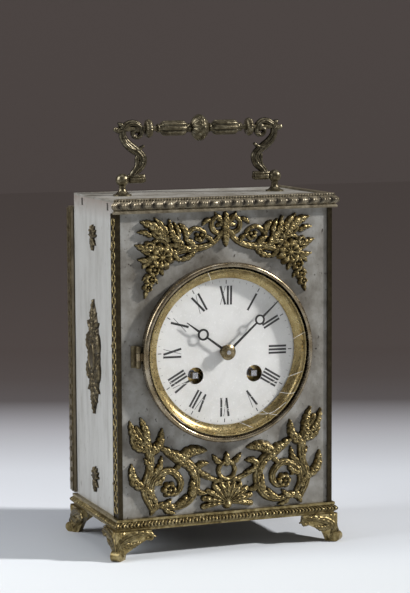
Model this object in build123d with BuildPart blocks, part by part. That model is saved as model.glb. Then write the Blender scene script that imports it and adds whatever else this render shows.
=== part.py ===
from build123d import *
import os
from math import atan2, cos, degrees, hypot, radians, sin

os.makedirs("parts", exist_ok=True)

# A French carriage clock of the officer's pattern: a silvered sheet case with gilt mounts,
# a swinging handle, a hinged bezel over an enamel dial, a hinged rear door and a round
# two-barrel movement. The front faces -Y and the feet stand on Z = 0.

# Case
case_width = 126.0
case_depth = 76.0
foot_height = 16.0
body_height = 181.5
sheet = 1.2
base_thickness = 2.0
flange_width = 6.0
frame_border = 10.0
running_gap = 0.3
fit_gap = 0.05

half_width = case_width / 2
half_depth = case_depth / 2
case_top = foot_height + body_height
panel_bottom = foot_height + base_thickness
panel_top = case_top - sheet
panel_height = panel_top - panel_bottom
inner_half_width = half_width - sheet

# Mouldings, given by how far they stand out from the panels
base_moulding_height = 6.5
base_torus = 4.1
base_fillet = 2.4
top_moulding_height = 8.0
top_torus = 4.6
top_fillet = 3.3
top_shelf = 2.1
top_lip = 1.0
top_lap = 1.6
slot_width = 2.8
slot_height = 4.2
slot_spacing = 45.6
slot_drop = 4.0
tab_gap = 0.1

base_moulding_top = foot_height + base_moulding_height
top_moulding_bottom = case_top + top_lip - top_moulding_height

# Corner strips
strip_thickness = 1.0
strip_band = 8.6
strip_lap = 1.7
strip_boss_radius = 1.45
strip_boss_height = 0.5
strip_pitch = 6.1
pin_radius = 1.0
pin_head = 0.7

# Feet
foot_reach = 7.0
foot_leg_width = 5.2
foot_toe_radius = 2.9
foot_arm_length = 21.0
foot_arm_thickness = 3.6
foot_lug = 12.0
foot_lug_thickness = 2.6
foot_screw_radius = 1.4
foot_screw_head = 2.8
foot_screw_inset = 7.5

# Dial, bezel and the movement, turned a little in the case
dial_height = 112.2
movement_tilt = 1.0
dial_radius = 45.2
dial_thickness = 0.6
dial_gap = 0.3
dial_plate_margin = 4.8
dial_plate_thickness = 1.0
dial_centre_hole = 3.3
winding_hole_radius = 4.7
winding_spacing = 35.0
winding_drop = 13.0
sight_lap = 4.2
bezel_lap = 1.1
glass_ledge = 1.0
bezel_rim = 2.6
bezel_front = 45.0
bezel_gap = 0.3
glass_thickness = 1.0
glass_setback = 0.7
sight_wall = 0.7
hinge_radius = 1.9
hinge_pin_radius = 0.8
hinge_pin_play = 0.05
bezel_hinge_radius = 1.45
bezel_pin_radius = 0.6
bezel_hinge_offset = 1.9
bezel_hinge_length = 12.0
bezel_hinge_lug = 4.2

dial_opening_radius = dial_radius + dial_gap
dial_plate_radius = dial_radius + dial_plate_margin
sight_radius = dial_radius - sight_lap
bezel_inner_radius = dial_opening_radius + bezel_lap
glass_radius = bezel_inner_radius + glass_ledge
bezel_radius = glass_radius + bezel_rim

# Movement
plate_radius = 41.0
plate_thickness = 1.8
plate_tongue_width = 28.0
plate_tongue_top = 43.0
front_plate_setback = 4.8
plate_distance = 23.2
pillar_radius = 2.5
barrel_radius = 15.0
barrel_length = 15.0
great_wheel_teeth = 90
centre_pinion_teeth = 14
great_wheel_thickness = 1.2
barrel_arbor_radius = 2.5
front_pivot_radius = 2.4
rear_pivot_radius = 1.2
square_size = 3.2
cannon_teeth = 14
minute_teeth = 42
minute_pinion_teeth = 12
hour_teeth = 48
motion_distance = 12.0
centre_arbor_radius = 1.2
cannon_pipe_radius = 1.9
hour_pipe_radius = 2.7
pipe_play = 0.1

# Hands, angles clockwise from the vertical of the case
minute_angle = 48.0
minute_reach = 40.7
minute_ring_place = 25.7
minute_ring_radius = 2.9
hour_angle = 306.5
hour_reach = 29.2
hour_ring_place = 17.3
hour_ring_radius = 3.3
hand_thickness = 0.5
nut_radius = 4.4

# Platform escapement, bell and hammer
platform_thickness = 1.6
balance_radius = 8.5
balance_rim = 1.1
bell_radius = 26.0
bell_depth = 13.0
bell_wall = 1.2
bell_setback = 8.0
hammer_arm_width = 2.2
hammer_head_radius = 2.8
hammer_head_length = 6.5

# Handle
handle_y = 1.5
pivot_height = 8.7
pivot_inset = 16.9
ball_radius = 3.7
post_base_radius = 5.2
post_neck_radius = 2.0
trunnion_radius = 1.0
trunnion_play = 0.06
knuckle_radius = 2.0
knuckle_length = 8.6
grip_rise = 28.5
rod_radius = 1.5
rod_overhang = 4.8
bracket_thickness = 4.6
collar_radius = 5.4
collar_inset = 15.7
collar_length = 4.4
barrel_grip_radius = 4.3
barrel_grip_inset = 2.6
knop_radius = 7.6
knop_length = 10.2

pivot_z = case_top + pivot_height
grip_z = pivot_z + grip_rise
pivot_x = half_width - pivot_inset
rod_half_length = pivot_x + rod_overhang
collar_place = pivot_x - collar_inset
barrel_grip_start = knop_length / 2 + running_gap
barrel_grip_end = collar_place - collar_length / 2 - barrel_grip_inset

# Rear door
door_gap = 0.3
door_depth = 5.9
door_wall = 1.3
door_overlap = 1.8
door_clearance = 0.7
door_hinge_offset = 3.2
door_hinge_length = 16.0
door_hinge_spacing = 110.0
door_strip_thickness = 0.9
button_inset = 5.0
button_radius = 4.4
button_shaft_radius = 1.5
latch_length = 6.5
latch_width = 4.0
latch_thickness = 1.5

door_half_width = half_width + door_overlap
door_front = half_depth + door_gap
door_back = door_front + door_depth
door_bottom = base_moulding_top + door_clearance
door_top = top_moulding_bottom - door_clearance

# Front castings
casting_stem = 2.8
casting_leaf = 4.2
casting_flower = 5.2


def write(piece, name):
    piece.part.label = name
    export_step(piece.part, f"parts/{name}.step")


def facing(y):
    """An upright sketch plane at depth y, seen from the front, with its normal to the front."""
    return Plane.XZ.offset(-y)


def wall_plane(outward, distance):
    """An upright sketch plane whose first axis points straight out of one side of the case."""
    out = Vector(*outward)
    return Plane(origin=out * distance, x_dir=out, z_dir=out.cross(Vector(0, 0, 1)))


def turned(x, up):
    """A place on the movement, turned clockwise with the dial, in the plane of the front."""
    tilt = radians(movement_tilt)
    return (x * cos(tilt) + up * sin(tilt), dial_height - x * sin(tilt) + up * cos(tilt))


def polar(angle, radius, centre=(0.0, 0.0)):
    """A point at an angle clockwise from straight up."""
    return (centre[0] + radius * sin(radians(angle)), centre[1] + radius * cos(radians(angle)))


def wheel_outline(teeth, module, centre, first_tooth):
    """The outline of a clock wheel with slender teeth, the first one at a given angle."""
    pitch = 360 / teeth
    root = module * teeth / 2 - 1.15 * module
    tip = module * teeth / 2 + 0.85 * module
    outline = []
    for tooth in range(teeth):
        angle = first_tooth + tooth * pitch
        outline.append(polar(angle - 0.27 * pitch, root, centre))
        outline.append(polar(angle - 0.11 * pitch, tip, centre))
        outline.append(polar(angle + 0.11 * pitch, tip, centre))
        outline.append(polar(angle + 0.27 * pitch, root, centre))
    return outline


def toothed_face(teeth, module, centre, first_tooth):
    with BuildLine() as outline:
        Polyline(*wheel_outline(teeth, module, centre, first_tooth), close=True)
    make_face(outline.edges())


def stroke(points, widths):
    """A tapering stem or scroll: a spline through the points with a width at each of them."""
    with BuildLine(mode=Mode.PRIVATE) as spine:
        Spline(*points)
    path = spine.edges()[0]
    run = [0.0]
    for before, after in zip(points, points[1:]):
        run.append(run[-1] + hypot(after[0] - before[0], after[1] - before[1]))
    steps = 3 * (len(points) - 1)
    near, far = [], []
    for step in range(steps + 1):
        place = step / steps
        covered = place * run[-1]
        span = max(i for i in range(len(points) - 1) if run[i] <= covered + 1e-9)
        share = (covered - run[span]) / (run[span + 1] - run[span])
        width = widths[span] + share * (widths[span + 1] - widths[span])
        at = path.position_at(place * path.length, position_mode=PositionMode.LENGTH)
        along = path.tangent_at(place * path.length, position_mode=PositionMode.LENGTH)
        near.append((at.X - along.Y * width / 2, at.Y + along.X * width / 2))
        far.append((at.X + along.Y * width / 2, at.Y - along.X * width / 2))
    with BuildLine() as outline:
        Spline(*near)
        Line(near[-1], far[-1])
        Spline(*reversed(far))
        Line(far[0], near[0])
    make_face(outline.edges())


def leaf(base, tip, width):
    """A pointed leaf from its base to its tip."""
    dx = tip[0] - base[0]
    dy = tip[1] - base[1]
    length = hypot(dx, dy)
    side = (-dy / length * width / 2, dx / length * width / 2)
    middle = (base[0] + dx * 0.42, base[1] + dy * 0.42)
    with BuildLine() as outline:
        ThreePointArc(base, (middle[0] + side[0], middle[1] + side[1]), tip)
        ThreePointArc(tip, (middle[0] - side[0], middle[1] - side[1]), base)
    make_face(outline.edges())


def top_moulding_section():
    """The section of the egg moulding under the top, as (out, up) from the panel's face."""
    bottom = top_moulding_bottom
    top = case_top + top_lip
    with BuildLine() as outline:
        Polyline((top_shelf, top - 1.2), (top_shelf, top), (-top_lap, top), (-top_lap, case_top),
                 (0, case_top), (0, bottom), (top_fillet, bottom), (top_fillet, bottom + 1.5),
                 (top_fillet - 0.9, bottom + 1.9))
        ThreePointArc((top_fillet - 0.9, bottom + 1.9), (top_torus, bottom + 4.3),
                      (top_shelf, top - 1.2))
    make_face(outline.edges())


def base_moulding_section():
    """The section of the base moulding, as (out, up) from the panel's face."""
    bottom = foot_height
    top = base_moulding_top
    with BuildLine() as outline:
        Polyline((base_fillet - 0.5, top - 1.5), (base_fillet, top - 1.3), (base_fillet, top),
                 (0, top), (0, bottom), (base_fillet - 0.4, bottom), (base_fillet - 0.4, bottom + 1.0))
        ThreePointArc((base_fillet - 0.4, bottom + 1.0), (base_torus, bottom + 3.1),
                      (base_fillet - 0.5, top - 1.5))
    make_face(outline.edges())


def mitre(corner_x, corner_y, along, outward):
    """Cuts a moulding's end at 45 degrees through a corner of the case."""
    normal = Vector(*along) - Vector(*outward)
    split(bisect_by=Plane(origin=(corner_x, corner_y, 0), z_dir=normal), keep=Keep.BOTTOM)


front = (0, -1, 0)
back = (0, 1, 0)
left = (-1, 0, 0)
right = (1, 0, 0)

# The front panel, with the opening that the dial sits in and the small catch hole beside it
catch_hole_x = bezel_radius + 4.4
with BuildPart() as front_panel:
    with BuildSketch(facing(-half_depth + sheet)):
        with Locations((0, panel_bottom + panel_height / 2)):
            Rectangle(case_width, panel_height)
        with Locations((0, dial_height)):
            Circle(dial_opening_radius, mode=Mode.SUBTRACT)
        with Locations((catch_hole_x, dial_height - 1.5)):
            Circle(0.5, mode=Mode.SUBTRACT)
    extrude(amount=sheet)
write(front_panel, "front_panel")

# A side panel: one sheet with both upright edges folded in, slotted for the top moulding's tabs
with BuildPart() as left_side_panel:
    with BuildSketch(Plane.XY.offset(panel_bottom)):
        with BuildLine():
            Polyline((-half_width, -half_depth + sheet), (-half_width, half_depth),
                     (-inner_half_width, half_depth), (-inner_half_width, half_depth - sheet),
                     (-inner_half_width + flange_width, half_depth - sheet),
                     (-inner_half_width + flange_width, half_depth - 2 * sheet),
                     (-inner_half_width, half_depth - 2 * sheet),
                     (-inner_half_width, -half_depth + 2 * sheet),
                     (-inner_half_width + flange_width, -half_depth + 2 * sheet),
                     (-inner_half_width + flange_width, -half_depth + sheet), close=True)
        make_face()
    extrude(amount=panel_height)
    for slot_y in (-slot_spacing / 2, slot_spacing / 2):
        with Locations((-half_width + sheet / 2, slot_y, case_top - slot_drop)):
            Box(2 * sheet, slot_width, slot_height, mode=Mode.SUBTRACT)
write(left_side_panel, "left_side_panel")

with BuildPart() as right_side_panel:
    mirror(left_side_panel.part, about=Plane.YZ)
write(right_side_panel, "right_side_panel")

# The top sheet, drilled for the studs of the handle posts
stud_radius = 1.5
with BuildPart() as top_panel:
    with BuildSketch(Plane.XY.offset(panel_top)):
        Rectangle(case_width, case_depth)
        with Locations((-pivot_x, handle_y), (pivot_x, handle_y)):
            Circle(stud_radius + fit_gap, mode=Mode.SUBTRACT)
    extrude(amount=sheet)
write(top_panel, "top_panel")

# The base plate, drilled for the foot screws
screw_x = half_width - foot_screw_inset
screw_y = half_depth - foot_screw_inset
with BuildPart() as base_plate:
    with BuildSketch(Plane.XY.offset(foot_height)):
        Rectangle(case_width, case_depth)
        with GridLocations(2 * screw_x, 2 * screw_y, 2, 2):
            Circle(foot_screw_radius + fit_gap, mode=Mode.SUBTRACT)
    extrude(amount=base_thickness)
write(base_plate, "base_plate")

# The frame round the rear opening, set between the side panels
rear_opening_width = 2 * (inner_half_width - frame_border)
rear_opening_height = panel_height - 2 * frame_border
with BuildPart() as rear_frame:
    with BuildSketch(facing(half_depth)):
        with Locations((0, panel_bottom + panel_height / 2)):
            Rectangle(2 * inner_half_width, panel_height)
            Rectangle(rear_opening_width, rear_opening_height, mode=Mode.SUBTRACT)
    extrude(amount=sheet)
write(rear_frame, "rear_frame")

# The angle strips of the front corners, with their row of bosses
strip_height = top_moulding_bottom - base_moulding_top
strip_side_y = -half_depth - strip_thickness + strip_band / 2
boss_count = int((strip_height - 3 * strip_boss_radius) // strip_pitch) + 1
with BuildPart() as front_left_strip:
    with BuildSketch(Plane.XY.offset(base_moulding_top)):
        with BuildLine():
            Polyline((-half_width - strip_thickness, -half_depth - strip_thickness),
                     (-half_width + strip_lap, -half_depth - strip_thickness),
                     (-half_width + strip_lap, -half_depth),
                     (-half_width, -half_depth),
                     (-half_width, -half_depth - strip_thickness + strip_band),
                     (-half_width - strip_thickness, -half_depth - strip_thickness + strip_band),
                     close=True)
        make_face()
    extrude(amount=strip_height)
    boss_plane = Plane(origin=(-half_width - strip_thickness, strip_side_y,
                               base_moulding_top + strip_height / 2), x_dir=front, z_dir=left)
    with BuildSketch(boss_plane):
        with GridLocations(1, strip_pitch, 1, boss_count):
            Circle(strip_boss_radius)
    extrude(amount=strip_boss_height)
write(front_left_strip, "front_left_strip")

with BuildPart() as front_right_strip:
    mirror(front_left_strip.part, about=Plane.YZ)
write(front_right_strip, "front_right_strip")

# The egg moulding along the top of the front, mitred at both ends
with BuildPart() as top_front_moulding:
    with BuildSketch(wall_plane(front, half_depth)):
        top_moulding_section()
    extrude(amount=half_width + 2 * top_torus, both=True)
    mitre(half_width, -half_depth, right, front)
    mitre(-half_width, -half_depth, left, front)
write(top_front_moulding, "top_front_moulding")

# Its neighbour along the right side, held by two tabs through the slots of the panel
tab_place = half_width - sheet / 2
with BuildPart() as top_right_moulding:
    with BuildSketch(wall_plane(right, half_width)):
        top_moulding_section()
    extrude(amount=half_depth + 2 * top_torus, both=True)
    mitre(half_width, -half_depth, front, right)
    split(bisect_by=Plane(origin=(0, half_depth, 0), z_dir=back), keep=Keep.BOTTOM)
    for slot_y in (-slot_spacing / 2, slot_spacing / 2):
        with Locations((tab_place, slot_y, case_top - slot_drop)):
            Box(sheet, slot_width - 2 * tab_gap, slot_height - 2 * tab_gap)
write(top_right_moulding, "top_right_moulding")

# The base moulding, four lengths mitred at the corners
with BuildPart() as base_front_moulding:
    with BuildSketch(wall_plane(front, half_depth)):
        base_moulding_section()
    extrude(amount=half_width + 2 * base_torus, both=True)
    mitre(half_width, -half_depth, right, front)
    mitre(-half_width, -half_depth, left, front)
write(base_front_moulding, "base_front_moulding")

with BuildPart() as base_rear_moulding:
    mirror(base_front_moulding.part, about=Plane.XZ)
write(base_rear_moulding, "base_rear_moulding")

with BuildPart() as base_right_moulding:
    with BuildSketch(wall_plane(right, half_width)):
        base_moulding_section()
    extrude(amount=half_depth + 2 * base_torus, both=True)
    mitre(half_width, -half_depth, front, right)
    mitre(half_width, half_depth, back, right)
write(base_right_moulding, "base_right_moulding")

with BuildPart() as base_left_moulding:
    mirror(base_right_moulding.part, about=Plane.YZ)
write(base_left_moulding, "base_left_moulding")

# A corner foot: a scrolled leg on the diagonal, two leafy arms and a lug for its screw
arm_face = base_fillet + 1.1
arm_end = foot_arm_length - arm_face
with BuildPart() as front_left_foot:
    leg_plane = Plane(origin=(-half_width, -half_depth, 0), x_dir=(-1, -1, 0), z_dir=(-1, 1, 0))
    toe = foot_reach - foot_toe_radius
    with BuildSketch(leg_plane):
        with BuildLine():
            Polyline((-7.4, foot_height - 4), (-7.4, foot_height), (3.6, foot_height))
            Spline((3.6, foot_height), (2.6, 0.72 * foot_height), (1.2, 0.5 * foot_height),
                   (toe - 1.6, 2 * foot_toe_radius - 0.3), (toe + 0.4, 2 * foot_toe_radius))
            ThreePointArc((toe + 0.4, 2 * foot_toe_radius), (foot_reach, foot_toe_radius), (toe, 0))
            Line((toe, 0), (toe - 5.5, 0))
            Spline((toe - 5.5, 0), (toe - 7.0, 0.2 * foot_height), (-7.4, foot_height - 4))
        make_face()
    extrude(amount=foot_leg_width / 2, both=True)
    with BuildSketch(facing(-half_depth - arm_face + foot_arm_thickness)):
        with BuildLine():
            Polyline((-half_width - arm_face + 0.6, 2.6), (-half_width - arm_face, foot_height),
                     (-half_width + arm_end, foot_height),
                     (-half_width + arm_end + 0.6, 0.74 * foot_height))
            Spline((-half_width + arm_end + 0.6, 0.74 * foot_height),
                   (-half_width + arm_end - 4.5, 0.62 * foot_height),
                   (-half_width + 4.0, 0.3 * foot_height), (-half_width + 0.5, 2.6))
            Line((-half_width + 0.5, 2.6), (-half_width - arm_face + 0.6, 2.6))
        make_face()
    extrude(amount=foot_arm_thickness)
    with BuildSketch(Plane.YZ.offset(-half_width - arm_face)):
        with BuildLine():
            Polyline((-half_depth - arm_face + 0.6, 2.6), (-half_depth - arm_face, foot_height),
                     (-half_depth + arm_end, foot_height),
                     (-half_depth + arm_end + 0.6, 0.74 * foot_height))
            Spline((-half_depth + arm_end + 0.6, 0.74 * foot_height),
                   (-half_depth + arm_end - 4.5, 0.62 * foot_height),
                   (-half_depth + 4.0, 0.3 * foot_height), (-half_depth + 0.5, 2.6))
            Line((-half_depth + 0.5, 2.6), (-half_depth - arm_face + 0.6, 2.6))
        make_face()
    extrude(amount=foot_arm_thickness)
    with BuildSketch(Plane.XY.offset(foot_height - foot_lug_thickness)):
        with Locations((-half_width + foot_lug / 2, -half_depth + foot_lug / 2)):
            Rectangle(foot_lug, foot_lug)
        with Locations((-screw_x, -screw_y)):
            Circle(foot_screw_radius + fit_gap, mode=Mode.SUBTRACT)
    extrude(amount=foot_lug_thickness)
write(front_left_foot, "front_left_foot")

with BuildPart() as front_right_foot:
    mirror(front_left_foot.part, about=Plane.YZ)
write(front_right_foot, "front_right_foot")

with BuildPart() as rear_left_foot:
    mirror(front_left_foot.part, about=Plane.XZ)
write(rear_left_foot, "rear_left_foot")

with BuildPart() as rear_right_foot:
    mirror(front_right_foot.part, about=Plane.XZ)
write(rear_right_foot, "rear_right_foot")

# The four screws that hold the feet, with their heads under the lugs
screw_head_height = 1.5
screw_tip = 1.6
with BuildPart() as foot_screws:
    head_bottom = foot_height - foot_lug_thickness - screw_head_height
    with BuildSketch(Plane.XY.offset(head_bottom)):
        with GridLocations(2 * screw_x, 2 * screw_y, 2, 2):
            Circle(foot_screw_head)
    extrude(amount=screw_head_height)
    with BuildSketch(Plane.XY.offset(foot_height - foot_lug_thickness)):
        with GridLocations(2 * screw_x, 2 * screw_y, 2, 2):
            Circle(foot_screw_radius)
    extrude(amount=foot_lug_thickness + base_thickness + screw_tip)
write(foot_screws, "foot_screws")

# The upper casting: a leaf crest over an arch of scrolls that ends in flowers and drops.
# It hangs under the top moulding: one half is drawn to the right of the middle, with its
# heights counted from the moulding's lower edge, and the other half mirrors it.
garland_plane = Plane(origin=(0, -half_depth, top_moulding_bottom), x_dir=right, z_dir=front)
arch_stem = [(1.4, -13.9), (7.4, -17.6), (15.0, -19.9), (23.8, -20.5), (31.0, -22.9)]
arch_curl = [(21.5, -19.0), (23.0, -13.5), (18.2, -9.1), (12.9, -12.3), (15.0, -15.7), (17.8, -14.1)]
crest_curl = [(2.0, -13.5), (6.9, -10.7), (7.2, -6.1), (3.2, -4.1), (2.6, -7.5), (4.6, -8.3)]
small_curl = [(33.5, -15.3), (37.2, -15.1), (40.6, -11.9), (38.2, -8.9), (36.4, -11.1)]
with BuildPart() as upper_garland:
    with BuildSketch(garland_plane):
        stroke(arch_stem, [2.6, 2.8, 4.6, 5.4, 3.0])
        stroke(arch_curl, [2.6, 2.4, 2.2, 2.0, 1.8, 2.2])
        stroke(crest_curl, [2.2, 2.6, 2.6, 2.4, 2.0, 2.2])
        stroke(small_curl, [2.6, 2.4, 2.2, 2.0, 2.0])
        leaf((0, -14.5), (0, -0.2), 4.6)
        leaf((0, -12.0), (0, -19.7), 4.0)
        leaf((25.5, -18.0), (26.0, -6.0), 5.0)
        leaf((28.5, -18.0), (35.8, -3.5), 6.4)
        leaf((34.5, -17.0), (49.0, -4.1), 6.2)
        leaf((36.5, -19.0), (52.2, -16.7), 6.4)
        leaf((38.0, -20.5), (49.5, -10.7), 4.4)
        leaf((41.5, -26.5), (44.2, -38.1), 5.0)
        leaf((43.8, -35.5), (47.6, -46.1), 4.2)
        leaf((37.0, -29.5), (41.6, -35.9), 3.4)
        leaf((44.0, -24.0), (50.0, -28.0), 3.4)
        mirror(about=Plane.YZ)
    extrude(amount=casting_stem)
    with BuildSketch(garland_plane):
        leaf((27.8, -19.5), (34.8, -5.9), 3.6)
        leaf((35.5, -16.0), (46.8, -6.3), 3.6)
        leaf((37.5, -18.7), (49.6, -17.2), 3.6)
        leaf((42.3, -29.5), (46.4, -43.1), 2.6)
        mirror(about=Plane.YZ)
        leaf((0, -13.5), (0, -1.9), 2.8)
    extrude(amount=casting_leaf)
    with BuildSketch(garland_plane):
        with Locations((37.9, -24.1)):
            Circle(4.8)
        with Locations((41.5, -30.3), (43.8, -35.3)):
            Circle(2.2)
        mirror(about=Plane.YZ)
    extrude(amount=casting_flower)
write(upper_garland, "upper_garland")

# The lower casting: two leafy spiral scrolls joined by a ring and a shell. Its heights are
# counted from the upper edge of the base moulding.
scroll_plane = Plane(origin=(0, -half_depth, base_moulding_top), x_dir=right, z_dir=front)
shell_centre = (0, 9.9)
ring_centre = (0, 23.1)
outer_scroll = [(43.6, 4.1), (37.0, 5.7), (30.0, 4.9), (23.2, 7.3), (19.0, 14.1), (19.2, 22.3),
                (23.4, 28.5), (29.6, 32.3), (36.4, 35.1)]
inner_scroll = [(41.0, 8.1), (44.0, 14.5), (42.6, 21.3), (36.8, 25.5), (30.4, 23.7), (27.4, 18.1),
                (30.0, 12.7), (35.4, 13.1)]
side_stem = [(42.6, 6.5), (46.8, 12.9), (46.6, 20.5), (45.6, 28.5), (45.6, 35.5), (47.6, 42.5),
             (53.6, 51.9)]
bridge = [(22.0, 25.9), (15.6, 21.7), (8.6, 18.5), (1.4, 16.1)]
with BuildPart() as lower_rinceau:
    with BuildSketch(scroll_plane):
        stroke(outer_scroll, [2.2, 2.6, 3.0, 3.4, 3.6, 3.8, 4.4, 4.6, 2.0])
        stroke(inner_scroll, [2.0, 2.8, 3.0, 3.0, 3.2, 3.2, 3.4, 3.8])
        stroke(side_stem, [2.6, 3.4, 3.8, 3.6, 4.2, 4.0, 2.6])
        stroke(bridge, [2.4, 2.2, 2.2, 2.0])
        leaf((25.0, 28.0), (11.8, 35.3), 4.4)
        leaf((47.0, 17.5), (56.2, 29.9), 4.6)
        leaf((46.4, 34.5), (38.6, 49.9), 5.0)
        leaf((46.6, 37.5), (43.0, 53.7), 4.6)
        leaf((48.0, 39.5), (50.6, 55.5), 4.6)
        leaf((49.0, 41.5), (57.2, 55.1), 4.6)
        leaf((46.8, 38.0), (56.0, 44.1), 4.2)
        leaf((41.0, 7.5), (45.0, 1.3), 3.4)
        leaf((1.0, 26.5), (7.6, 31.9), 3.2)
        for petal in range(5):
            angle = 18 + 36 * petal
            leaf(shell_centre, polar(angle, 12.6 - 5.6 * abs(cos(radians(angle))), shell_centre), 4.2)
        mirror(about=Plane.YZ)
        leaf((0, 25.5), (0, 33.1), 3.8)
        with Locations(ring_centre):
            Circle(4.9)
        with Locations(shell_centre):
            Ellipse(7.2, 5.4)
        with Locations(ring_centre):
            Circle(2.6, mode=Mode.SUBTRACT)
    extrude(amount=casting_stem)
    with BuildSketch(scroll_plane):
        leaf((24.4, 29.5), (36.0, 34.5), 2.6)
        leaf((47.2, 19.5), (54.4, 28.1), 2.6)
        leaf((46.4, 36.5), (43.8, 51.1), 2.4)
        leaf((48.4, 40.5), (55.0, 52.5), 2.6)
        with Locations((33.4, 14.5)):
            Circle(3.0)
        mirror(about=Plane.YZ)
        with Locations(shell_centre):
            Circle(4.0)
    extrude(amount=casting_leaf)
write(lower_rinceau, "lower_rinceau")

# Both long side mounts: a plain boss between leafy ends
mount_height = dial_height - 4.8
mount_y = 2.6
mount_length = 64.0
mount_width = 24.0
mount_relief = 2.0
with BuildPart() as side_cartouches:
    mount_plane = Plane(origin=(-half_width, mount_y, mount_height), x_dir=front, z_dir=left)
    with BuildSketch(mount_plane):
        Ellipse(mount_width / 2, 0.3 * mount_length)
        leaf((0, 0), (0, mount_length / 2), 0.56 * mount_width)
        leaf((0, 0), (0, -mount_length / 2), 0.56 * mount_width)
    extrude(amount=mount_relief)
    with BuildSketch(mount_plane.offset(mount_relief)):
        Ellipse(0.24 * mount_width, 0.16 * mount_length)
    extrude(amount=0.6 * mount_relief)
    mirror(about=Plane.YZ)
write(side_cartouches, "side_cartouches")

# The small mounts above and below them, four alike
rosette_width = 12.0
rosette_length = 15.0
rosette_places = (top_moulding_bottom - 15.3, base_moulding_top + 15.7)
with BuildPart() as side_rosettes:
    for rosette_height in rosette_places:
        rosette_plane = Plane(origin=(-half_width, mount_y, rosette_height), x_dir=front, z_dir=left)
        with BuildSketch(rosette_plane):
            Ellipse(0.32 * rosette_width, 0.4 * rosette_length)
            leaf((0, 0), (0, -rosette_length / 2), 0.6 * rosette_width)
            leaf((0, 0), (rosette_width / 2, 0.4 * rosette_length), 0.34 * rosette_length)
            leaf((0, 0), (-rosette_width / 2, 0.4 * rosette_length), 0.34 * rosette_length)
        extrude(amount=mount_relief)
    mirror(about=Plane.YZ)
write(side_rosettes, "side_rosettes")

# The round-headed pins that hold the corner strips
pin_heights = (base_moulding_top + 19.0, dial_height + 5.8, top_moulding_bottom - 19.5)
pin_y = -half_depth - strip_thickness + strip_band - 1.4
pin_start = half_width + strip_thickness
with BuildPart() as panel_pins:
    for pin_height in pin_heights:
        with BuildSketch(Plane(origin=(-pin_start, pin_y, pin_height), x_dir=front, z_dir=left)):
            Circle(pin_radius)
        extrude(amount=pin_head)
    fillet(panel_pins.faces().sort_by(Axis.X)[:len(pin_heights)].edges(), 0.9 * pin_head)
    mirror(about=Plane.YZ)
write(panel_pins, "panel_pins")

# A handle post: a ball on a flared foot, a stud below and a trunnion that points inward
stud_length = 6.0
with BuildPart() as left_handle_post:
    with BuildSketch(facing(handle_y)):
        with BuildLine():
            Polyline((-pivot_x, pivot_z), (-pivot_x, case_top), (-pivot_x + post_base_radius, case_top),
                     (-pivot_x + post_base_radius, case_top + 0.8))
            Spline((-pivot_x + post_base_radius, case_top + 0.8),
                   (-pivot_x + 0.62 * post_base_radius, case_top + 1.7),
                   (-pivot_x + post_neck_radius, case_top + 3.6))
            Polyline((-pivot_x + post_neck_radius, case_top + 3.6),
                     (-pivot_x + post_neck_radius, pivot_z), (-pivot_x, pivot_z))
        make_face()
    revolve(axis=Axis((-pivot_x, handle_y, 0), (0, 0, 1)))
    with Locations((-pivot_x, handle_y, pivot_z)):
        Sphere(ball_radius)
    with BuildSketch(Plane.XY.offset(case_top - stud_length)):
        with Locations((-pivot_x, handle_y)):
            Circle(stud_radius)
    extrude(amount=stud_length)
    with BuildSketch(Plane.YZ.offset(-pivot_x)):
        with Locations((handle_y, pivot_z)):
            Circle(trunnion_radius)
    extrude(amount=ball_radius + running_gap + knuckle_length + running_gap)
    with BuildSketch(Plane.YZ.offset(-pivot_x + ball_radius + 2 * running_gap + knuckle_length)):
        with Locations((handle_y, pivot_z)):
            Circle(1.4 * trunnion_radius)
    extrude(amount=0.6)
write(left_handle_post, "left_handle_post")

with BuildPart() as right_handle_post:
    mirror(left_handle_post.part, about=Plane.YZ)
write(right_handle_post, "right_handle_post")

# The nuts of the posts, under the top sheet
nut_height = 2.4
with BuildPart() as post_nuts:
    with BuildSketch(Plane.XY.offset(panel_top - nut_height)):
        with Locations((-pivot_x, handle_y), (pivot_x, handle_y)):
            RegularPolygon(3.4, 6)
            Circle(stud_radius + fit_gap, mode=Mode.SUBTRACT)
    extrude(amount=nut_height)
write(post_nuts, "post_nuts")

# A handle bracket: a knuckle on the trunnion, an S-shaped leafy arm and a scroll round the rod
arm_spine = [(8.2, 1.4), (9.5, 5.0), (10.7, 9.6), (9.5, 14.6), (6.5, 19.0), (4.1, 23.6),
             (3.9, 28.0), (6.5, 31.0), (9.7, 30.8), (11.2, 28.2), (9.7, 26.0)]
lip_spine = [(4.7, 26.0), (5.7, 22.4), (9.1, 19.4), (13.1, 18.7)]
horn_spine = [(4.1, 29.4), (1.1, 28.7), (-2.3, 28.5)]
arm_eye = 9.7
knuckle_far = -pivot_x + ball_radius + running_gap


def from_pivot(points):
    """Places given as distances inward and upward from the left pivot of the handle."""
    return [(-pivot_x + inward, pivot_z + up) for inward, up in points]


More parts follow.
